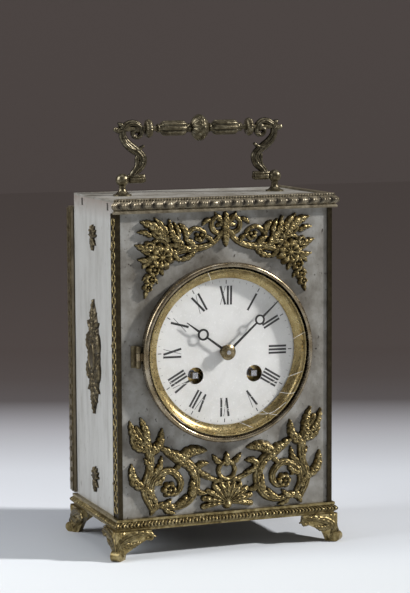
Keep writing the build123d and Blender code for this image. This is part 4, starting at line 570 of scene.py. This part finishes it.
links, pitch = 27, 6.1
for side, name in ((-1, "front_left_strip"), (1, "front_right_strip")):
    outline = [(-64.0, -38.95), (-63.9, -39.0), (-61.3, -39.0), (-61.3, -38.0), (-63.0, -38.0),
               (-63.0, -30.4), (-63.7, -30.4), (-64.0, -30.6), (-64.0, -31.3), (-63.6, -31.6),
               (-63.6, -37.6), (-64.0, -37.9)]
    verts = [(-side * x, y, z) for z in (22.5, 190.5) for x, y in outline]
    n = len(outline)
    faces = [(k, (k + 1) % n, n + (k + 1) % n, n + k) for k in range(n)]
    faces += [tuple(range(n)), tuple(range(n, 2 * n))]
    for k in range(links):
        z = 106.5 + (k - links // 2) * pitch
        v, f = torus_points((side * 63.75, -34.7, z), (0, 1.12, 0), (0, 0, 0.9), (side, 0, 0), 2.35, 0.52)
        faces += [tuple(i + len(verts) for i in q) for q in f]
        verts += v
        if k < links - 1:
            v, f = torus_points((side * 63.75, -34.7, z + pitch / 2), (0, 1, 0), (0, 0, 1), (side, 0, 0),
                                0.5, 0.4, 12)
            faces += [tuple(i + len(verts) for i in q) for q in f]
            verts += v
    # Painted shade: the angle behind the rings is coloured almost fully dark, and the rings keep the plain gilt.
    shade_in_recesses = np.where(np.arange(len(verts)) < 2 * n, 0.93, 0.0)
    strip = solid(name + "_chain", verts, faces, gilt, "case", shade_in_recesses)
    for polygon in strip.data.polygons[:n + 2]:
        polygon.use_smooth = False
    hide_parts(name)


# The feet: four castings, each a leg on the corner's diagonal with a ball toe and long
# flutes, and a leafy scroll under each moulding. A lug inside takes the screw.
def spun(profile, count, centre, axis, a, b, shape=None):
    """Points and faces of a turned form: profile holds (along, radius)."""
    centre, axis, a, b = (np.array(v, float) for v in (centre, axis, a, b))
    verts, faces = [], []
    for i, (t, r) in enumerate(profile):
        for k in range(count):
            ang = 2 * math.pi * k / count
            q = r * (shape(t, ang) if shape else 1.0)
            verts.append(centre + axis * t + q * (math.cos(ang) * a + math.sin(ang) * b))
    for i in range(len(profile) - 1):
        for k in range(count):
            faces.append((i * count + k, i * count + (k + 1) % count,
                          (i + 1) * count + (k + 1) % count, (i + 1) * count + k))
    faces += [tuple(range(count)), tuple(range((len(profile) - 1) * count, len(profile) * count))]
    return verts, faces


arm = Casting((-67.5, 1.5), (-40.5, 16.2), 0.25)
arm.stem([(-65.2, 6.4), (-62.4, 10.6), (-56.6, 13.2), (-50.4, 14.2), (-45.6, 13.6), (-45.8, 11.2),
          (-48.4, 11.4)], [4.2, 4.8, 4.6, 3.6, 2.8, 2.2, 1.8], 2.0)
arm.leaf((-63, 9.6), (-52.4, 9.8), 4.4, 2.2, -0.15, 5)
arm.leaf((-57, 14.2), (-43.2, 12.2), 3.6, 2.0, 0.1, 4)
arm.leaf((-65, 9), (-62.2, 2.8), 3.4, 1.8, 0, 3)
for sx, sy, name in ((-1, -1, "front_left_foot"), (1, -1, "front_right_foot"), (-1, 1, "rear_left_foot"),
                     (1, 1, "rear_right_foot")):
    coat(gilt, name)
    front_arm = arm.piece(name + "_front_leaf",
                          lambda U, V, H: np.stack([-sx * U, sy * (41.3 + 0.6 * H), V], 1), gilt, "case")
    side_arm = arm.piece(name + "_side_leaf",
                         lambda U, V, H: np.stack([sx * (66.3 + 0.6 * H), sy * (-U - 25.0), V], 1),
                         gilt, "case")
    out = np.array((sx, sy, 0)) / math.sqrt(2)
    across = np.array((-sy, sx, 0)) / math.sqrt(2)
    corner = np.array((sx * 63.0, sy * 38.0, 0))
    verts, faces = [], []
    for k, (z, reach) in enumerate(((15.9, 4.9), (13.5, 4.6), (11, 3.6), (8.6, 3.0), (6.6, 3.6), (5.2, 5.2),
                                    (3.6, 6.4), (2.0, 6.5), (0.6, 5.4), (0.05, 3.6))):
        wide = (4.0, 3.6, 3.0, 2.5, 2.3, 2.6, 3.0, 3.0, 2.6, 1.8)[k]
        for j in range(25):
            t = math.pi * (j / 24 - 0.5)
            flute = 1 - 0.09 * (1 + math.cos(8 * t)) * (k < 5)
            verts.append(corner + out * (reach * math.cos(t) ** 0.8 * flute - 0.6)
                         + across * wide * math.sin(t) + np.array((0, 0, z)))
    rows = 10
    for i in range(rows - 1):
        for j in range(24):
            faces.append((i * 25 + j, i * 25 + j + 1, (i + 1) * 25 + j + 1, (i + 1) * 25 + j))
        faces.append((i * 25 + 24, i * 25, (i + 1) * 25, (i + 1) * 25 + 24))
    faces += [tuple(range(25)), tuple(range((rows - 1) * 25, rows * 25))]
    leg = solid(name + "_leg", verts, faces, gilt, "case", np.full(len(verts), 0.12))

# The handle: ball posts on the top sheet, two scrolled S-shaped brackets that swing on them,
# and a rod threaded with beaded collars, fluted barrels and a gadrooned middle knop.
coat(olive, "left_handle_post", "right_handle_post", "handle_rod")
rod_back, rod_height = 1.5, 234.7
bracket = Casting((-52.6, 206.0), (-30.6, 240.6), 0.22)
bracket.ripple = 0.03
bracket.stem([(-40.4, 207.6), (-38.4, 210.7), (-35.2, 214.0), (-34.0, 217.6), (-35.8, 220.8), (-39.6, 223.6),
              (-43.2, 226.6), (-45.4, 230.0), (-45.8, 233.6)],
             [4.4, 4.4, 5.2, 5.0, 4.6, 5.2, 5.0, 4.4, 4.0], 2.7, 0.6)
bracket.stem([(-45.8, 229.4), (-43.6, 225.8), (-39.8, 223.4), (-36.2, 223.3), (-33.7, 224.9)],
             [2.6, 3.2, 3.0, 2.4, 1.4], 2.9, 0.4)
bracket.stem([(-36.8, 221.2), (-37.4, 218), (-37.4, 214.8), (-38.8, 212.4)], [1.2, 2.4, 2.4, 1.2], 2.2, 0.3)
bracket.stem([(-46, 232.4), (-44.8, 235.6), (-41.4, 237.7), (-37.6, 237.5), (-35.0, 235), (-34.9, 231.6),
              (-37.2, 229.9), (-39.5, 231.0), (-39.6, 233.2), (-37.8, 233.8)],
             [3.8, 4.0, 3.8, 3.6, 3.2, 2.8, 2.6, 2.4, 2.2, 2.2], 2.7, 0.5)
bracket.stem([(-45.4, 234), (-48, 233.6), (-50.2, 234.2)], [3.6, 2.6, 1.8], 2.2)
bracket.leaf((-44.4, 235.4), (-48.2, 238.0), 3.4, 2.4, 0, 2)
bracket.stem([(-42.0, 208.1), (-33.6, 208.1)], [2.4, 2.4], 2.6, 0.1)
bracket.bead((-37.4, 234.4), 2.4, 2.3)
for side, name in ((1, "handle_left_bracket"), (-1, "handle_right_bracket")):
    limb = bracket.piece(name + "_leaves",
                         lambda U, V, H: np.stack([side * U, rod_back + 0.85 * H, V], 1),
                         olive, "handle", True)
    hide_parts(name)
    v, f = spun([(0, 1.15), (0, 1.9), (0.6, 2.0), (8.0, 2.0), (8.6, 1.9), (8.6, 1.15)], 24,
                (-side * 42.1, rod_back, 206.2), (side, 0, 0), (0, 1, 0), (0, 0, 1))
    solid(name + "_knuckle", v, f, olive, "handle", np.full(len(v), 0.1))
for side, name in ((-1, "left"), (1, "right")):
    v, f = spun([(-2.2, 2.6), (-1.5, 4.6), (-0.7, 5.2), (0, 5.35), (0.7, 5.2), (1.5, 4.6), (2.2, 2.6)], 88,
                (side * 30.3, rod_back, rod_height), (1, 0, 0), (0, 1, 0), (0, 0, 1),
                lambda t, a: (1 - 0.07 * (0.5 + 0.5 * math.cos(22 * a)) * (abs(t) < 1.6)
                              - 0.05 * (abs(t) == 0.7)))
    collar = solid(name + "_collar", v, f, olive, "handle", np.full(len(v), 0.1))
    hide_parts("handle_collars")
    grip = [(5.4, 2.0), (5.8, 2.6), (6.3, 2.7), (6.8, 2.2), (7.4, 2.5), (8.2, 3.3), (9.0, 4.0), (9.6, 4.25),
            (15.5, 4.3), (21.4, 4.25), (22.0, 4.0), (22.8, 3.3), (23.6, 2.5), (24.2, 2.2), (24.7, 2.7),
            (25.2, 2.6), (25.6, 2.0)]
    v, f = spun([(side * t, r) for t, r in grip], 96, (0, rod_back, rod_height), (1, 0, 0), (0, 1, 0), (0, 0, 1),
                lambda t, a: 1 - 0.2 * (1 - abs(math.cos(4 * a)) ** 0.7) * (7.6 < abs(t) < 23.4))
    # Painted shade: darker down in each flute.
    shade_in_recesses = [0.1 + 0.75 * (1 - abs(math.cos(4 * 2 * math.pi * (i % 96) / 96))) ** 2 for i in range(len(v))]
    barrel = solid(name + "_fluted_barrel", v, f, olive, "handle", shade_in_recesses)
    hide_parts("handle_barrels")
knop_line = [(-5.0, 2.4), (-4.6, 3.4), (-3.6, 5.2), (-2.4, 6.6), (-1.2, 7.3), (-0.6, 7.55), (-0.35, 7.1),
             (0, 7.55), (0.35, 7.1), (0.6, 7.55), (1.3, 7.3), (2.1, 6.9), (2.9, 6.2), (3.7, 5.3), (4.5, 4.2),
             (5.0, 3.0)]
v, f = spun(knop_line, 112, (0, rod_back, rod_height), (1, 0, 0), (0, 1, 0), (0, 0, 1),
            lambda t, a: (1 - 0.11 * (0.5 + 0.5 * math.cos(14 * a)) * (t < -1)
                          - 0.1 * (0.5 + 0.5 * math.cos(28 * a + 3 * t)) * (t > 1)))
knop = solid("middle_knop", v, f, olive, "handle", np.full(len(v), 0.14))
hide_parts("handle_knop")

# The dial: white enamel on copper, a little off upright, with painted numerals and a
# minute track. The paint is modelled as thin raised strokes on the enamel.
enamel = finish("old_enamel", [(0.5, 0.495, 0.475), (0.56, 0.56, 0.55), (0.61, 0.61, 0.6)], 0.0, 0.22, 45.0,
                (1, 1, 1), 0.03)
coat(enamel, "dial")
dial_height, dial_face = 112.2, -37.4
black_paint = finish("dial_paint", [(0.012, 0.012, 0.013), (0.035, 0.034, 0.033)], 0.0, 0.45, 500.0)


def stroke_plate(a, b, wide_a, wide_b, y, thick=0.05):
    """A flat tapering stroke between two places on the dial, in (x, up) from its centre."""
    a, b = np.array(a, float), np.array(b, float)
    d = (b - a) / max(np.linalg.norm(b - a), 1e-9)
    n = np.array((-d[1], d[0]))
    ring = [a + n * wide_a / 2, b + n * wide_b / 2, b - n * wide_b / 2, a - n * wide_a / 2]
    verts = [(p[0], y + s, dial_height + p[1]) for s in (0, -thick) for p in ring]
    faces = [(0, 1, 2, 3), (7, 6, 5, 4), (0, 4, 5, 1), (1, 5, 6, 2), (2, 6, 7, 3), (3, 7, 4, 0)]
    return verts, faces


def gather(parts):
    verts, faces = [], []
    for v, f in parts:
        faces += [tuple(i + len(verts) for i in q) for q in f]
        verts += v
    return verts, faces


marks = []
for hour in range(1, 13):
    word = ("", "I", "II", "III", "IV", "V", "VI", "VII", "VIII", "IX", "X", "XI", "XII")[hour]
    if hour == 4:
        word = "IIII"
    angle = math.radians(30 * hour + 1.0)
    up = np.array((math.sin(angle), math.cos(angle)))
    over = np.array((up[1], -up[0]))
    widths = {"I": 1.9, "V": 4.1, "X": 4.1}
    x = -sum(widths[c] for c in word) / 2
    for c in word:
        w = widths[c]
        low, high = 26.1, 36.5
        left, right, middle = x + 0.6, x + w - 0.6, x + w / 2

        def spot(px, pr):
            return over * px + up * pr

        if c == "I":
            marks.append(stroke_plate(spot(middle, low), spot(middle, high), 1.15, 1.15, dial_face))
            marks.append(stroke_plate(spot(x + 0.2, low), spot(x + w - 0.2, low), 0.16, 0.16, dial_face))
            marks.append(stroke_plate(spot(x + 0.2, high), spot(x + w - 0.2, high), 0.16, 0.16, dial_face))
        elif c == "V":
            marks.append(stroke_plate(spot(left, high), spot(middle, low), 1.25, 1.1, dial_face))
            marks.append(stroke_plate(spot(right, high), spot(middle + 0.2, low), 0.3, 0.25, dial_face))
        else:
            marks.append(stroke_plate(spot(left, high), spot(right, low), 1.25, 1.25, dial_face))
            marks.append(stroke_plate(spot(right, high), spot(left, low), 0.28, 0.28, dial_face))
        x += w
for minute in range(60):
    angle = math.radians(6 * minute + 1.0)
    up = np.array((math.sin(angle), math.cos(angle)))
    long = minute % 5 == 0
    marks.append(stroke_plate(up * (37.7 if long else 38.7), up * 39.8, 0.5 if long else 0.16,
                              0.5 if long else 0.16, dial_face))
v, f = gather(marks)
numerals = solid("dial_numerals", v, f, black_paint, "case", None, False)

# The hands and their collet: hour and minute hands of blued steel gone black, with open
# rings, and a domed brass collet that holds them on the centre arbor.
black_steel = finish("blackened_steel", [(0.015, 0.014, 0.014), (0.04, 0.037, 0.035)], 0.4, 0.35, 500.0)
coat(black_steel, "hour_hand", "minute_hand")
coat(finish("collet_brass", [(0.08, 0.055, 0.025), (0.18, 0.14, 0.075), (0.36, 0.3, 0.19)], 0.9, 0.32, 500.0),
     "hand_nut")

# The bevelled glass of the bezel: clear, set in the ring in front of the dial, with the
# fine old cracks that run across it laid on as thin pale lines.
clear = bpy.data.materials.new("bezel_glass_clear")
clear.use_nodes = True
t = clear.node_tree
shader = t.nodes["Principled BSDF"]
shader.inputs["Base Color"].default_value = (1, 1, 1, 1)
shader.inputs["Transmission Weight"].default_value = 1.0
shader.inputs["IOR"].default_value = 1.04
smear = t.nodes.new("ShaderNodeTexNoise")
smear.inputs["Scale"].default_value = 60.0
film = t.nodes.new("ShaderNodeMapRange")
film.inputs["To Min"].default_value = 0.0
film.inputs["To Max"].default_value = 0.02
t.links.new(smear.outputs["Fac"], film.inputs["Value"])
t.links.new(film.outputs["Result"], shader.inputs["Roughness"])
see = t.nodes.new("ShaderNodeBsdfTransparent")
path = t.nodes.new("ShaderNodeLightPath")
pick = t.nodes.new("ShaderNodeMixShader")
out = t.nodes["Material Output"]
t.links.new(path.outputs["Is Shadow Ray"], pick.inputs[0])
t.links.new(shader.outputs["BSDF"], pick.inputs[1])
t.links.new(see.outputs["BSDF"], pick.inputs[2])
t.links.new(pick.outputs["Shader"], out.inputs["Surface"])
coat(clear, "bezel_glass")
crack_white = finish("crack_edges", [(0.46, 0.45, 0.42), (0.6, 0.59, 0.56)], 0.0, 0.5, 300.0)
cracks, glass_face = [], -43.25
for line in ([(-6, -33), (-14, -36), (-26, -38), (-33, -32)], [(-2, -31), (10, -34), (24, -35.5), (34, -30)],
             [(2, -33), (12, -26), (20, -20), (30, -17), (44, -13)], [(-14, -9), (-11, -15), (-8, -18)],
             [(13, -1), (9, -9), (7, -15)], [(36, 4), (41, 7), (45.5, 9)], [(30, -24), (38, -25), (44, -22)],
             [(-18, -24), (-9, -29), (-1, -32), (4, -38), (14, -43)], [(-36, -14), (-30, -16), (-22, -15)],
             [(-30, 12), (-26, 6), (-24, 2)], [(-17, 1), (-13, -7), (-8, -14), (-5, -24), (-2, -32)],
             [(6, -8), (2, -16), (-6, -24), (-16, -28)], [(16, -30), (22, -35), (30, -37)],
             [(-10, 38), (-11, 42), (-12.4, 45)]):
    points = smooth_line(line, 6)
    for a, b in zip(points[:-1], points[1:]):
        cracks.append(stroke_plate(a, b, 0.24, 0.24, glass_face, 0.04))
v, f = gather(cracks)
crack_piece = solid("glass_cracks", v, f, crack_white, "front_bezel", None, False)

# The setting: a pale floor whose colour darkens away from the camera into a dark brown-grey
# background (painted shade of the sweep), a fairly hard light from the right in front, a broad soft one from the
# left, and the camera.
floor_paint = bpy.data.materials.new("floor_paint")
floor_paint.use_nodes = True
t = floor_paint.node_tree
b = t.nodes["Principled BSDF"]
b.inputs["Roughness"].default_value = 0.85
b.inputs["Specular IOR Level"].default_value = 0.1
where = t.nodes.new("ShaderNodeNewGeometry")
along = t.nodes.new("ShaderNodeVectorMath")
along.operation = "DOT_PRODUCT"
along.inputs[1].default_value = (0.3566, 0.9343, 0.0)
reach = t.nodes.new("ShaderNodeMapRange")
reach.inputs["From Min"].default_value = -0.2
reach.inputs["From Max"].default_value = 0.8
# Painted shade: the floor's colour ramps from pale in front to near black behind, along the camera's level
# heading.
sweep_shade_ramp = t.nodes.new("ShaderNodeValToRGB")
sweep_shade_steps = [(0.0, (0.665, 0.69, 0.715)), (0.115, (0.66, 0.69, 0.72)), (0.155, (0.64, 0.67, 0.71)),
         (0.24, (0.6, 0.625, 0.67)), (0.392, (0.52, 0.54, 0.58)), (0.543, (0.32, 0.32, 0.343)),
         (0.678, (0.08, 0.071, 0.072)), (0.8, (0.065, 0.054, 0.052)), (0.964, (0.06, 0.048, 0.045)),
         (1.0, (0.062, 0.05, 0.047))]
sweep_shade_ramp.color_ramp.elements[0].position = 0.0
sweep_shade_ramp.color_ramp.elements[0].color = (*sweep_shade_steps[0][1], 1)
sweep_shade_ramp.color_ramp.elements[1].position = 1.0
sweep_shade_ramp.color_ramp.elements[1].color = (*sweep_shade_steps[-1][1], 1)
for at, tone in sweep_shade_steps[1:-1]:
    sweep_shade_ramp.color_ramp.elements.new(at).color = (*tone, 1)
t.links.new(where.outputs["Position"], along.inputs[0])
t.links.new(along.outputs["Value"], reach.inputs["Value"])
t.links.new(reach.outputs["Result"], sweep_shade_ramp.inputs["Fac"])
t.links.new(sweep_shade_ramp.outputs["Color"], b.inputs["Base Color"])


def stage_sheet(name, corners, material):
    mesh = bpy.data.meshes.new(name)
    mesh.from_pydata(corners, [], [(0, 1, 2, 3)])
    mesh.materials.append(material)
    obj = bpy.data.objects.new(name, mesh)
    bpy.context.scene.collection.objects.link(obj)


stage_sheet("floor", [(-4, -3, 0), (4, -3, 0), (4, 3, 0), (-4, 3, 0)], floor_paint)
wall_paint = bpy.data.materials.new("wall_paint")
wall_paint.use_nodes = True
wb = wall_paint.node_tree.nodes["Principled BSDF"]
wb.inputs["Base Color"].default_value = (0.08, 0.063, 0.059, 1)
wb.inputs["Roughness"].default_value = 0.9
stage_sheet("wall", [(-4, 2.9, -0.1), (4, 2.9, -0.1), (4, 2.9, 3), (-4, 2.9, 3)], wall_paint)


def lamp(name, kind, toward, energy, size, colour):
    data = bpy.data.lights.new(name, kind)
    data.energy = energy
    data.color = colour
    if kind == "SUN":
        data.angle = size
    else:
        data.shape = "RECTANGLE"
        data.size, data.size_y = size
    obj = bpy.data.objects.new(name, data)
    direction = Vector(toward)
    obj.location = Vector((0, 0, 0.11)) + direction
    obj.rotation_euler = direction.to_track_quat("Z", "Y").to_euler()
    bpy.context.scene.collection.objects.link(obj)


lamp("key", "SUN", (1.9, -0.9, 1.3), 4.3, math.radians(4.0), (1.0, 0.985, 0.96))
lamp("left_fill", "AREA", (-1.35, 0.1, 0.75), 16.0, (0.7, 0.9), (0.97, 0.985, 1.0))
lamp("overhead", "AREA", (0.0, -0.1, 1.7), 5.0, (0.9, 0.9), (1.0, 1.0, 1.0))
world = bpy.data.worlds.new("room")
bpy.context.scene.world = world
world.use_nodes = True
world.node_tree.nodes["Background"].inputs["Color"].default_value = (0.5, 0.5, 0.52, 1)
world.node_tree.nodes["Background"].inputs["Strength"].default_value = 0.3

yaw, pitch, roll = (math.radians(a) for a in (20.89, 6.62, -0.33))
ahead = Vector((math.sin(yaw) * math.cos(pitch), math.cos(yaw) * math.cos(pitch), -math.sin(pitch)))
right = Vector((math.cos(yaw), -math.sin(yaw), 0))
above = right.cross(ahead)
across_view = math.cos(roll) * right + math.sin(roll) * above
up_view = -math.sin(roll) * right + math.cos(roll) * above
eye = bpy.data.cameras.new("camera")
eye.lens = 2139.16 * 36 / 593
eye.sensor_width = 36
eye.clip_start = 0.05
camera = bpy.data.objects.new("camera", eye)
camera.matrix_world = Matrix(((across_view.x, up_view.x, -ahead.x, -0.42928),
                              (across_view.y, up_view.y, -ahead.y, -1.13107),
                              (across_view.z, up_view.z, -ahead.z, 0.2792), (0, 0, 0, 1)))
bpy.context.scene.collection.objects.link(camera)
bpy.context.scene.camera = camera
bpy.context.scene.view_settings.view_transform = "Standard"
